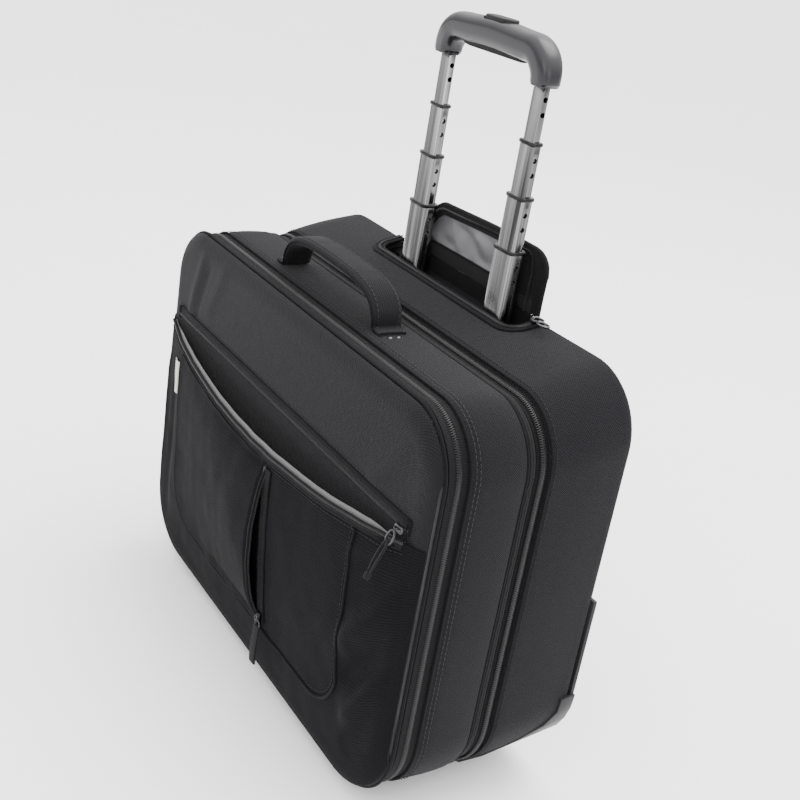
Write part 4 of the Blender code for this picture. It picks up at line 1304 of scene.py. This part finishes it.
def build_flap():
    low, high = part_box("hatch_flap")
    xs = [FLAP_HALF * (2 * i / 100 - 1) for i in range(101)]

    def layer(side, rough):
        made = []
        for j in range(41):
            row = []
            for x in xs:
                z = mix(low.z - 0.0005, flap_top(x) - 0.0008, j / 40)
                wrinkle = rough * noise.noise(Vector((x * 55 + z * 30, 9.0, z * 45 - x * 18)))
                border = smooth(min((j / 40 - 0.24) * 6, (0.84 - j / 40) * 6,
                                    (FLAP_HALF * 0.88 - abs(x)) / 0.012))
                row.append([x, flap_y(x, z, side) + wrinkle * border, z])
            made.append(row)
        return made

    front, back = layer(-0.0011, 0.0042), layer(0.0011, 0.0004)
    surface = Surface()
    surface.grid(front, 1)
    surface.grid(back, 0, True)
    surface.grid([front[0], back[0]], 0)
    surface.grid([back[-1], front[-1]], 0)
    for k in (0, -1):
        surface.grid([[row[k] for row in front], [row[k] for row in back]], 0)
    cloth = ride(surface.object("flap_cloth", ["nylon", "lining"], 60.0, closed=True), "flap", "nylon",
                 "hatch_flap")
    route = [(FLAP_HALF - 0.0005, mix(low.z, flap_top(FLAP_HALF), i / 10)) for i in range(10)]
    route += [(x, flap_top(x) - 0.0006) for x in reversed(xs)]
    route += [(-FLAP_HALF + 0.0005, mix(flap_top(-FLAP_HALF), low.z, i / 10)) for i in range(1, 11)]
    edge = Surface()
    tube(edge, [(x, flap_y(x, z), z) for x, z in route], 0.0021, 8)
    inner = [(min(x * 0.905, 0.058), max(z - 0.0075, low.z + 0.0005)) for x, z in route]
    band = [[[x, flap_y(x, z, -0.0024), z] for x, z in route],
            [[x, flap_y(x, z, -0.0026), z] for x, z in inner],
            [[x, flap_y(x, z, -0.0016), z] for x, z in inner]]
    edge.grid(band, 0)
    across = [FLAP_HALF * 0.93 * (i / 20 - 1) for i in range(41)]
    edge.grid([[[x, flap_y(x, low.z + dz, -side), low.z + dz] for x in across]
               for dz, side in ((0.0, 0.0012), (0.0, 0.0024), (0.0105, 0.0027), (0.0118, 0.0016))], 0)
    tube(edge, [(x, flap_y(x, low.z + 0.0118, -0.0020), low.z + 0.0118) for x in across], 0.0010, 6)
    binding = ride(edge.object("flap_binding", ["tape"], 60.0), "flap", "trim")
    middle = [Vector((mix(a[0], b[0], 0.35), flap_y(a[0], a[1], -0.0028), mix(a[1], b[1], 0.35)))
              for a, b in zip(route, inner)]
    centre = Vector((0.0, 0.0, low.z + 0.01))
    coil("flap_coil", middle, to_front,
         lambda p: Vector((centre.x - p.x, 0, centre.z - p.z)).normalized(), "flap", reach=0.0022)


# Pull handle
TUBE_NAMES = ["outer_tube", "stage_four_tube", "stage_three_tube", "stage_two_tube", "stage_one_tube"]
TUBE_BODIES = ["rear_case", "stage_four", "stage_three", "stage_two", "handle"]
TUBE_WALL = 0.0011


def tube_ring(x, y, half, deep, grow, z, count=64):
    """A tube's section: a flat oval with softly bulging faces, closed."""
    ring = []
    for k in range(count + 1):
        a, b = math.cos(TAU * k / count), math.sin(TAU * k / count)
        ring.append([x + squared(a, 0.5) * (half + grow),
                     y + squared(b, 0.5) * (deep + grow), z])
    return ring


def build_tubes():
    for side in ("left", "right"):
        for stage, name in enumerate(TUBE_NAMES):
            node = f"{name}_{side}"
            low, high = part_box(node)
            x, y = (low.x + high.x) / 2, (low.y + high.y) / 2
            half, deep = (high.x - low.x) / 2, (high.y - low.y) / 2
            chamfer = 0.00025
            profile = [(-TUBE_WALL, high.z - 0.05), (-TUBE_WALL, high.z - chamfer),
                       (-TUBE_WALL + chamfer, high.z),
                       (-chamfer, high.z), (0.0, high.z - chamfer), (0.0, low.z + chamfer), (-chamfer, low.z),
                       (-TUBE_WALL, low.z), (-TUBE_WALL, high.z - 0.05)]
            surface = Surface()
            rows = [tube_ring(x, y, half, deep, grow, z) for grow, z in profile]
            surface.grid(rows, 0)
            item = surface.object(f"{name}_{side}_drawn", ["aluminium"], 50.0, closed=True)
            if stage:
                top = high.z - 0.013 if stage < 4 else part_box("grip")[0].z - 0.009
                for hole in range(2):
                    ring = [(y + 0.002 * math.cos(a), top - hole * 0.011 + 0.002 * math.sin(a))
                            for a in (TAU * k / 24 for k in range(24))]
                    boolean(item, slab("hole", ring, high.x - 0.003, high.x + 0.003, "X"))
                item.data.set_sharp_from_angle(angle=math.radians(50))
            ride(item, TUBE_BODIES[stage], "aluminium", node)
            if stage < 4:
                build_collar(node, TUBE_BODIES[stage])


def build_collar(node, body):
    """The rim at a tube's mouth. The outermost tube has no collar of its own in the frame."""
    collar = node.replace("tube", "collar")
    stands_for = [collar] if collar in frame["nodes"] else []
    low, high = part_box(stands_for[0] if stands_for else node)
    x, y = (low.x + high.x) / 2, (low.y + high.y) / 2
    grow = 0.0 if stands_for else 0.0008
    half, deep = (high.x - low.x) / 2 + grow, (high.y - low.y) / 2 + grow
    wall, low_edge = 0.0016, high.z - 0.0024
    profile = [(-wall, high.z), (-0.0005, high.z + 0.0002), (0.0, high.z - 0.0004), (0.0, low_edge + 0.0004),
               (-0.0004, low_edge), (-wall, low_edge), (-wall, high.z)]
    surface = Surface()
    surface.grid([tube_ring(x, y, half, deep, grow, z) for grow, z in profile], 0)
    ride(surface.object(f"{collar}_rim", ["collar"], 40.0, closed=True), body, "plastic", *stands_for)


def grip_stations():
    """Stations along the grip: centre, the direction across it in XZ, and half its thickness."""
    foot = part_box("grip")[0].z
    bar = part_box("release_button")[1].z - 0.0165
    half, bend = 0.0645, 0.020
    stations = []
    for sign in (-1, 1):
        leg = [((sign * half, mix(foot, bar - bend, i / 10)), (sign, 0.0), mix(0.0086, 0.0104, smooth(i / 8)))
               for i in range(11)]
        for i in range(1, 12):
            a = math.radians(90 * i / 12)
            x, z = half - bend * (1 - math.cos(a)), bar - bend * (1 - math.sin(a))
            leg.append(((sign * x, z), (sign * math.cos(a), math.sin(a)), mix(0.0104, 0.0108, i / 12)))
        for i in range(9):
            t = i / 9
            leg.append(((sign * mix(half - bend, 0.0, t), bar + 0.0016 * smooth(t)), (0.0, 1.0),
                        mix(0.0108, 0.0114, t)))
        stations.append(leg)
    return stations[0] + [((0.0, bar + 0.0016), (0.0, 1.0), 0.0114)] + stations[1][::-1], bar


def build_grip():
    stations, bar = grip_stations()
    y = (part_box("grip")[0].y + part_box("grip")[1].y) / 2
    surface = Surface()
    rows = []
    for (x, z), (ax, az), size in stations:
        deep = mix(0.0098, 0.0113, smooth((z - stations[0][0][1]) / 0.018))
        row = []
        for i in range(41):
            a = TAU * i / 40
            side = size * squared(math.cos(a), 0.72)
            out = deep * squared(math.sin(a), 0.72)
            groove = 0.00035 if i in (10, 30) else 0.0
            row.append([x + ax * side, y + out - math.copysign(groove, out), z + az * side])
        rows.append(row)
    for first in (0, -1):
        inner = [[mix(p[0], stations[first][0][0], 0.10), mix(p[1], y, 0.10),
                  p[2] - 0.0004] for p in rows[first]]
        rows.insert(0, inner) if first == 0 else rows.append(inner)
    surface.lofted(rows)
    item = surface.object("grip_moulded", ["grip"], 60.0, closed=True)
    mouth_outline = rounded(0.0182, y - 0.0084, y + 0.0084, 0.0082, 0.0082, 8)
    boolean(item, slab("mouth", mouth_outline, bar + 0.0060, bar + 0.03))
    socket = 0.0004
    for side in ("left", "right"):
        low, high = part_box(f"stage_one_tube_{side}")
        cx, half, deep = (low.x + high.x) / 2, (high.x - low.x) / 2 + socket, (high.y - low.y) / 2 + socket
        ring = rounded(half, y - deep, y + deep, 0.0038, 0.0038, 6, cx)
        boolean(item, slab("socket", ring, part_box("grip")[0].z - 0.01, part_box("grip")[0].z + 0.012))
    item.data.set_sharp_from_angle(angle=math.radians(45))
    ride(item, "handle", "plastic", "grip")
    necks = Surface()
    for side in ("left", "right"):
        low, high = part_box(f"stage_one_tube_{side}")
        cx, half, deep = (low.x + high.x) / 2, (high.x - low.x) / 2, (high.y - low.y) / 2
        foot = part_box("grip")[0].z
        necks.grid([tube_ring(cx, y, half, deep, grow, foot + dz) for grow, dz in
                    ((0.0, -0.0007), (0.0011, -0.0007), (0.0016, -0.0003), (0.0019, 0.0012), (0.0, 0.0012))],
                   0)
    ride(necks.object("grip_necks", ["plastic"], 50.0), "handle", "plastic")
    button = Surface()
    caps = [(0.0169, 0.0072, -0.0080), (0.0169, 0.0072, -0.0012), (0.0164, 0.0067, -0.0003),
            (0.0152, 0.0055, 0.0), (0.0136, 0.0042, -0.0003), (0.0060, 0.0012, -0.0006)]
    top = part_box("release_button")[1].z - 0.0022
    made = []
    for half, deep, dz in caps:
        ring = rounded(half, y - deep, y + deep, deep * 0.98, deep * 0.98, 8)
        made.append([[a, b, min(top + dz, top)] for a, b in ring + ring[:1]])
    button.grid(made, 0)
    button.polygon(made[-1][:-1], 0)
    button.polygon(made[0][:-1], 0, True)
    ride(button.object("release_button_cap", ["plastic"], 50.0, closed=True), "release", "plastic",
         "release_button")
    low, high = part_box("grip_insert")
    insert = Surface()
    rows = []
    ribs = 22
    for i in range(ribs * 6 + 1):
        t = i / (ribs * 6)
        x = mix(low.x, high.x, t)
        ends = smooth(min(t, 1 - t) / 0.03)
        depth = low.z + 0.0006 + 0.0011 * (0.5 + 0.5 * math.cos(TAU * t * ribs)) * ends + 0.004 * (1 - ends)
        row = []
        for k in range(13):
            a = math.pi * k / 12
            row.append([x, y + mix(low.y - y, high.y - y, k / 12) * 1.1,
                        mix(high.z + 0.0045, depth, math.sin(a) ** 0.5)])
        rows.append(row)
    insert.grid(rows, 0)
    ride(insert.object("grip_insert_ribbed", ["rubber"], 60.0), "handle", "rubber", "grip_insert")


# Sliders and pulls
def slider(name, along, up, finish="steel"):
    """A zip slider: a waisted body and an arched bridge."""
    low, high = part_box(f"{name}_slider")
    place = (low + high) / 2
    across = along.cross(up).normalized()
    extent = high - low
    tall = abs(extent.dot(up))
    length, wide = abs(extent.dot(along)), abs(extent.dot(across))
    surface = Surface()
    bottom = place - up * tall / 2
    body_height = 0.0026
    outline = []
    for k in range(32):
        a = TAU * k / 32
        u, v = math.cos(a), math.sin(a)
        waist = 1.0 - 0.22 * math.exp(-((u * length / 2 / 0.0022) ** 2))
        outline.append((squared(u, 0.6) * length / 2, squared(v, 0.6) * wide / 2 * waist))
    rows = []
    base = max(tall - 0.0045, 0.0)
    for grow, height in ((0.90, base), (1.0, base + 0.0004), (1.0, base + body_height - 0.0006),
                         (0.93, base + body_height), (0.40, base + body_height + 0.0002)):
        rows.append([list(bottom + along * a * grow + across * b * grow + up * height)
                     for a, b in outline + outline[:1]])
    surface.lofted(rows)
    crown = base + body_height
    arch = []
    for i in range(15):
        a = math.pi * i / 14
        arch.append(bottom + along * math.cos(a) * length * 0.36 + up
                    * (crown - 0.0004 + math.sin(a) * 0.0021))
    tube(surface, arch, 0.00075, 8)
    return surface.object(f"{name}_slider_cast", [finish], 50.0)


def strip(points, widths, up, thick):
    """A flat tab along a line of points, rounded at its edges."""
    surface = Surface()
    rows = []
    n = len(points) - 1
    for i, point in enumerate(points):
        along = (points[min(i + 1, n)] - points[max(i - 1, 0)]).normalized()
        side = along.cross(up).normalized()
        row = []
        for k in range(17):
            a = TAU * k / 16
            row.append(list(point + side * squared(math.cos(a), 0.4) * widths[i] / 2
                            + up * squared(math.sin(a), 0.7) * thick / 2))
        rows.append(row)
    surface.lofted(rows)
    return surface


def build_zips():
    """Sliders with their pulls: cast on the long zips, a cord on the pocket's, fabric on the quick one's."""
    out = Vector((0, -1, 0))
    for name, along, up in (("pocket", Vector((1, 0, 0)), out), ("quick", Vector((0, 0, 1)), out),
                            ("hatch", Vector((0, 1, 0)), Vector((0, 0, 1))),
                            ("main", Vector((0, 0, 1)), Vector((-1, 0, 0))),
                            ("front", Vector((0, 0, 1)), Vector((-1, 0, 0)))):
        finish = "bright" if name == "hatch" else "steel"
        ride(slider(name, along, up, finish), f"{name}_slider_body", "steel", f"{name}_slider")
    for name in ("main", "front"):
        low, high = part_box(f"{name}_pull")
        x, y = (low.x + high.x) / 2, (low.y + high.y) / 2
        line = [Vector((x, y, mix(high.z, low.z, i / 12))) for i in range(13)]
        widths = [0.0032, 0.0036, 0.0050, 0.0058, 0.0060, 0.0060, 0.0060, 0.0060, 0.0060, 0.0060, 0.0060,
                  0.0058, 0.0044]
        tab = strip(line, widths, Vector((1, 0, 0)), 0.0012).object(f"{name}_pull_tab", ["steel"], 50.0)
        boolean(tab, slab("eye", [(y + 0.0012 * math.cos(a), high.z - 0.0052 + 0.0022 * math.sin(a))
                                  for a in (TAU * k / 20 for k in range(20))], x - 0.003, x + 0.003, "X"))
        ride(tab, f"{name}_pull_body", "steel", f"{name}_pull")
    build_cord_pull()
    build_tab_pull()
    build_ring_pull()


def build_cord_pull():
    """The pocket's pull: a wire link with a doubled cord that ends in a thicker grip."""
    low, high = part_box("pocket_pull")
    pivot = Vector(((low.x + high.x) / 2, (low.y + high.y) / 2, high.z - 0.0005))
    lean = Vector((-0.24, -0.19, -0.94)).normalized()
    link = Surface()
    side = Vector((lean.z, 0, -lean.x)).normalized()
    ring = []
    for i in range(25):
        a = TAU * i / 24
        ring.append(pivot + lean * (0.0052 - 0.0058 * math.cos(a)) + side * 0.0034 * math.sin(a))
    tube(link, ring[:-1], 0.00075, 8, True)
    ride(link.object("pocket_pull_link", ["steel"]), "pocket_pull_body", "steel")
    cord = Surface()
    foot = pivot + lean * 0.0095
    for sign in (-1, 1):
        path = smooth_line([foot + side * sign * s + lean * t + Vector((0, bow, 0)) for s, t, bow in
                            ((0.0004, -0.0018, 0.0), (0.0016, 0.002, -0.0006), (0.0020, 0.010, -0.0010),
                             (0.0016, 0.020, -0.0008), (0.0009, 0.030, 0.0))], 40)
        tube(cord, path, 0.0010, 8)
    path = [foot + lean * 0.027 + lean * t for t in (0.0, 0.002, 0.004, 0.006)]
    tube(cord, path, lambda t: 0.0022 + 0.0004 * math.sin(math.pi * t), 12, flat=0.75)
    ride(cord.object("pocket_pull_cord", ["strap"]), "pocket_pull_body", "nylon", "pocket_pull")


def build_tab_pull():
    """The quick pocket's pull: a folded strip of webbing on a wire link."""
    low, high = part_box("quick_pull")
    x, y = (low.x + high.x) / 2 + 0.0045, (low.y + high.y) / 2
    lean = Vector((0.02, -0.02, -1.0)).normalized()
    start = Vector((x, y, high.z - 0.004))
    line = [start + lean * 0.034 * i / 14 + Vector((0, -0.0008 * math.sin(math.pi * i / 14), 0))
            for i in range(15)]
    body = strip(line, [0.0100] * 13 + [0.0098, 0.0090], Vector((0, -1, 0)), 0.0021)
    ride(body.object("quick_pull_tab", ["strap"], 50.0), "quick_pull_body", "nylon", "quick_pull")
    link = Surface()
    ring = [Vector((x, y, high.z - 0.0022)) + Vector((0.0036 * math.sin(a), 0, 0.0034 * math.cos(a)))
            for a in (TAU * k / 20 for k in range(20))]
    tube(link, ring, 0.0007, 8, True)
    ride(link.object("quick_pull_link", ["steel"]), "quick_pull_body", "steel")


def build_ring_pull():
    """The hatch zip's pull: a bright ring and a short bar."""
    low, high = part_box("hatch_pull")
    x, z = (low.x + high.x) / 2, (low.z + high.z) / 2
    surface = Surface()
    ring = [Vector((x + 0.0046, high.y - 0.0016, z)) + Vector((0.0052 * math.sin(a), 0.0042 * math.cos(a), 0))
            for a in (TAU * k / 24 for k in range(24))]
    tube(surface, ring, 0.00085, 8, True)
    centre = Vector((x + 0.0142, high.y - 0.0036, z - 0.0002))
    low_ring = [centre + Vector((0.0058 * math.sin(a), 0.0032 * math.cos(a), 0))
                for a in (TAU * k / 24 for k in range(24))]
    tube(surface, low_ring, 0.0010, 8, True)
    ride(surface.object("hatch_pull_ring", ["bright"]), "hatch_pull_body", "steel", "hatch_pull")


# Wheels, guards and feet
def build_running_gear():
    for side in ("left", "right"):
        refined(f"wheel_housing_{side}", "guard", "rear_case", bevel=0.0009, angle=40.0)
        refined(f"axle_{side}", "steel", "rear_case", bevel=0.0004)
        refined(f"hub_{side}", "plastic", f"wheel_{side}", bevel=0.0003)
        refined(f"tyre_{side}", "tyre", f"wheel_{side}", bevel=0.0003)
        refined(f"front_foot_{side}", "rubber", "middle_case", bevel=0.0008)
    refined("file_divider", "lining", "middle_case", bevel=0.0004)


# Fabric hinges down the left side
def build_hinges():
    for name, a, b, first, last, inset in (
            ("main_hinge_strip", "middle_case", "rear_case", MAIN_ZIP - 0.0090, MAIN_ZIP + 0.0078, 0.0052),
            ("front_hinge_strip", "front_lid", "middle_case", FRONT_ZIP - 0.0085, FRONT_ZIP + 0.0085,
             0.0036)):
        surface = Surface()
        ys = [mix(first, last, i / 14) for i in range(15)]
        zs = [mix(BASE + BOTTOM_RADIUS + 0.006, TOP - TOP_RADIUS - 0.006, i / 30) for i in range(31)]
        outer = [[[-HALF + inset, y, z] for z in zs] for y in ys]
        inner = [[[-HALF + inset + 0.0010, y, z] for z in zs] for y in ys]
        surface.quilt(outer, inner, 0, 0)
        item = surface.object(name, ["trim"], 60.0, closed=True)
        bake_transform(item)


# Studio
def build_studio():
    mesh = bpy.data.meshes.new("floor")
    mesh.from_pydata([(-40, -40, 0), (40, -40, 0), (40, 40, 0), (-40, 40, 0)], [], [(0, 1, 2, 3)])
    floor = bpy.data.objects.new("floor", mesh)
    bpy.context.scene.collection.objects.link(floor)
    make = Nodes("floor", (0.86, 0.86, 0.87), 0.6)
    make.link(make.ramp(make.noise(3.0, 2.0), (0.3, (0.92, 0.92, 0.925)), (0.7, (0.94, 0.94, 0.945))),
              "Base Color")
    mesh.materials.append(make.made)
    world = bpy.data.worlds.new("studio")
    bpy.context.scene.world = world
    world.use_nodes = True
    tree = world.node_tree
    back = tree.nodes["Background"]
    up = tree.nodes.new("ShaderNodeSeparateXYZ")
    ramp = tree.nodes.new("ShaderNodeValToRGB")
    tree.links.new(tree.nodes.new("ShaderNodeTexCoord").outputs["Generated"], up.inputs[0])
    tree.links.new(up.outputs["Z"], ramp.inputs["Fac"])
    tree.links.new(ramp.outputs["Color"], back.inputs["Color"])
    ramp.color_ramp.elements[0].position, ramp.color_ramp.elements[0].color = 0.05, (0.22, 0.22, 0.23, 1.0)
    ramp.color_ramp.elements[1].position, ramp.color_ramp.elements[1].color = 0.75, (1.0, 1.0, 1.0, 1.0)
    back.inputs["Strength"].default_value = 3.8
    for name, place, size, power in (("key", (1.0, -1.0, 1.0), 0.8, 5.0), ("fill", (2.4, 0.2, 1.1), 1.0, 8.0),
                                     ("top", (0.1, 0.9, 2.4), 1.8, 60.0)):
        light = bpy.data.lights.new(name, "AREA")
        light.shape, light.size, light.energy = "DISK", size, power
        lamp = bpy.data.objects.new(name, light)
        lamp.location = place
        lamp.rotation_mode = "QUATERNION"
        lamp.rotation_quaternion = (Vector((0, 0, 0.2)) - Vector(place)).to_track_quat("-Z", "Y")
        bpy.context.scene.collection.objects.link(lamp)


def build_camera():
    azimuth, elevation, roll = math.radians(55.395), math.radians(22.537), math.radians(9.85)
    ahead = Vector((-math.sin(azimuth) * math.cos(elevation), math.cos(azimuth) * math.cos(elevation),
                    -math.sin(elevation)))
    level = ahead.cross(Vector((0, 0, 1))).normalized()
    upright = level.cross(ahead)
    right = level * math.cos(roll) + upright * math.sin(roll)
    up = right.cross(ahead)
    data = bpy.data.cameras.new("camera")
    data.lens, data.sensor_width = 54.8, 36.0
    data.clip_start, data.clip_end = 0.05, 50.0
    camera = bpy.data.objects.new("camera", data)
    turn = Matrix((right, up, -ahead)).transposed()
    camera.matrix_world = Matrix.Translation((0.7671, -0.4836, 0.6215)) @ turn.to_4x4()
    bpy.context.scene.collection.objects.link(camera)
    bpy.context.scene.camera = camera


build_camera()
build_studio()
build_middle()
build_gussets()
build_rear()
build_hatch()
build_lid()
build_pocket()
build_pocket_zip()
build_quick()
build_label()
build_strap()
build_flap()
build_tubes()
build_grip()
build_zips()
build_running_gear()
build_hinges()
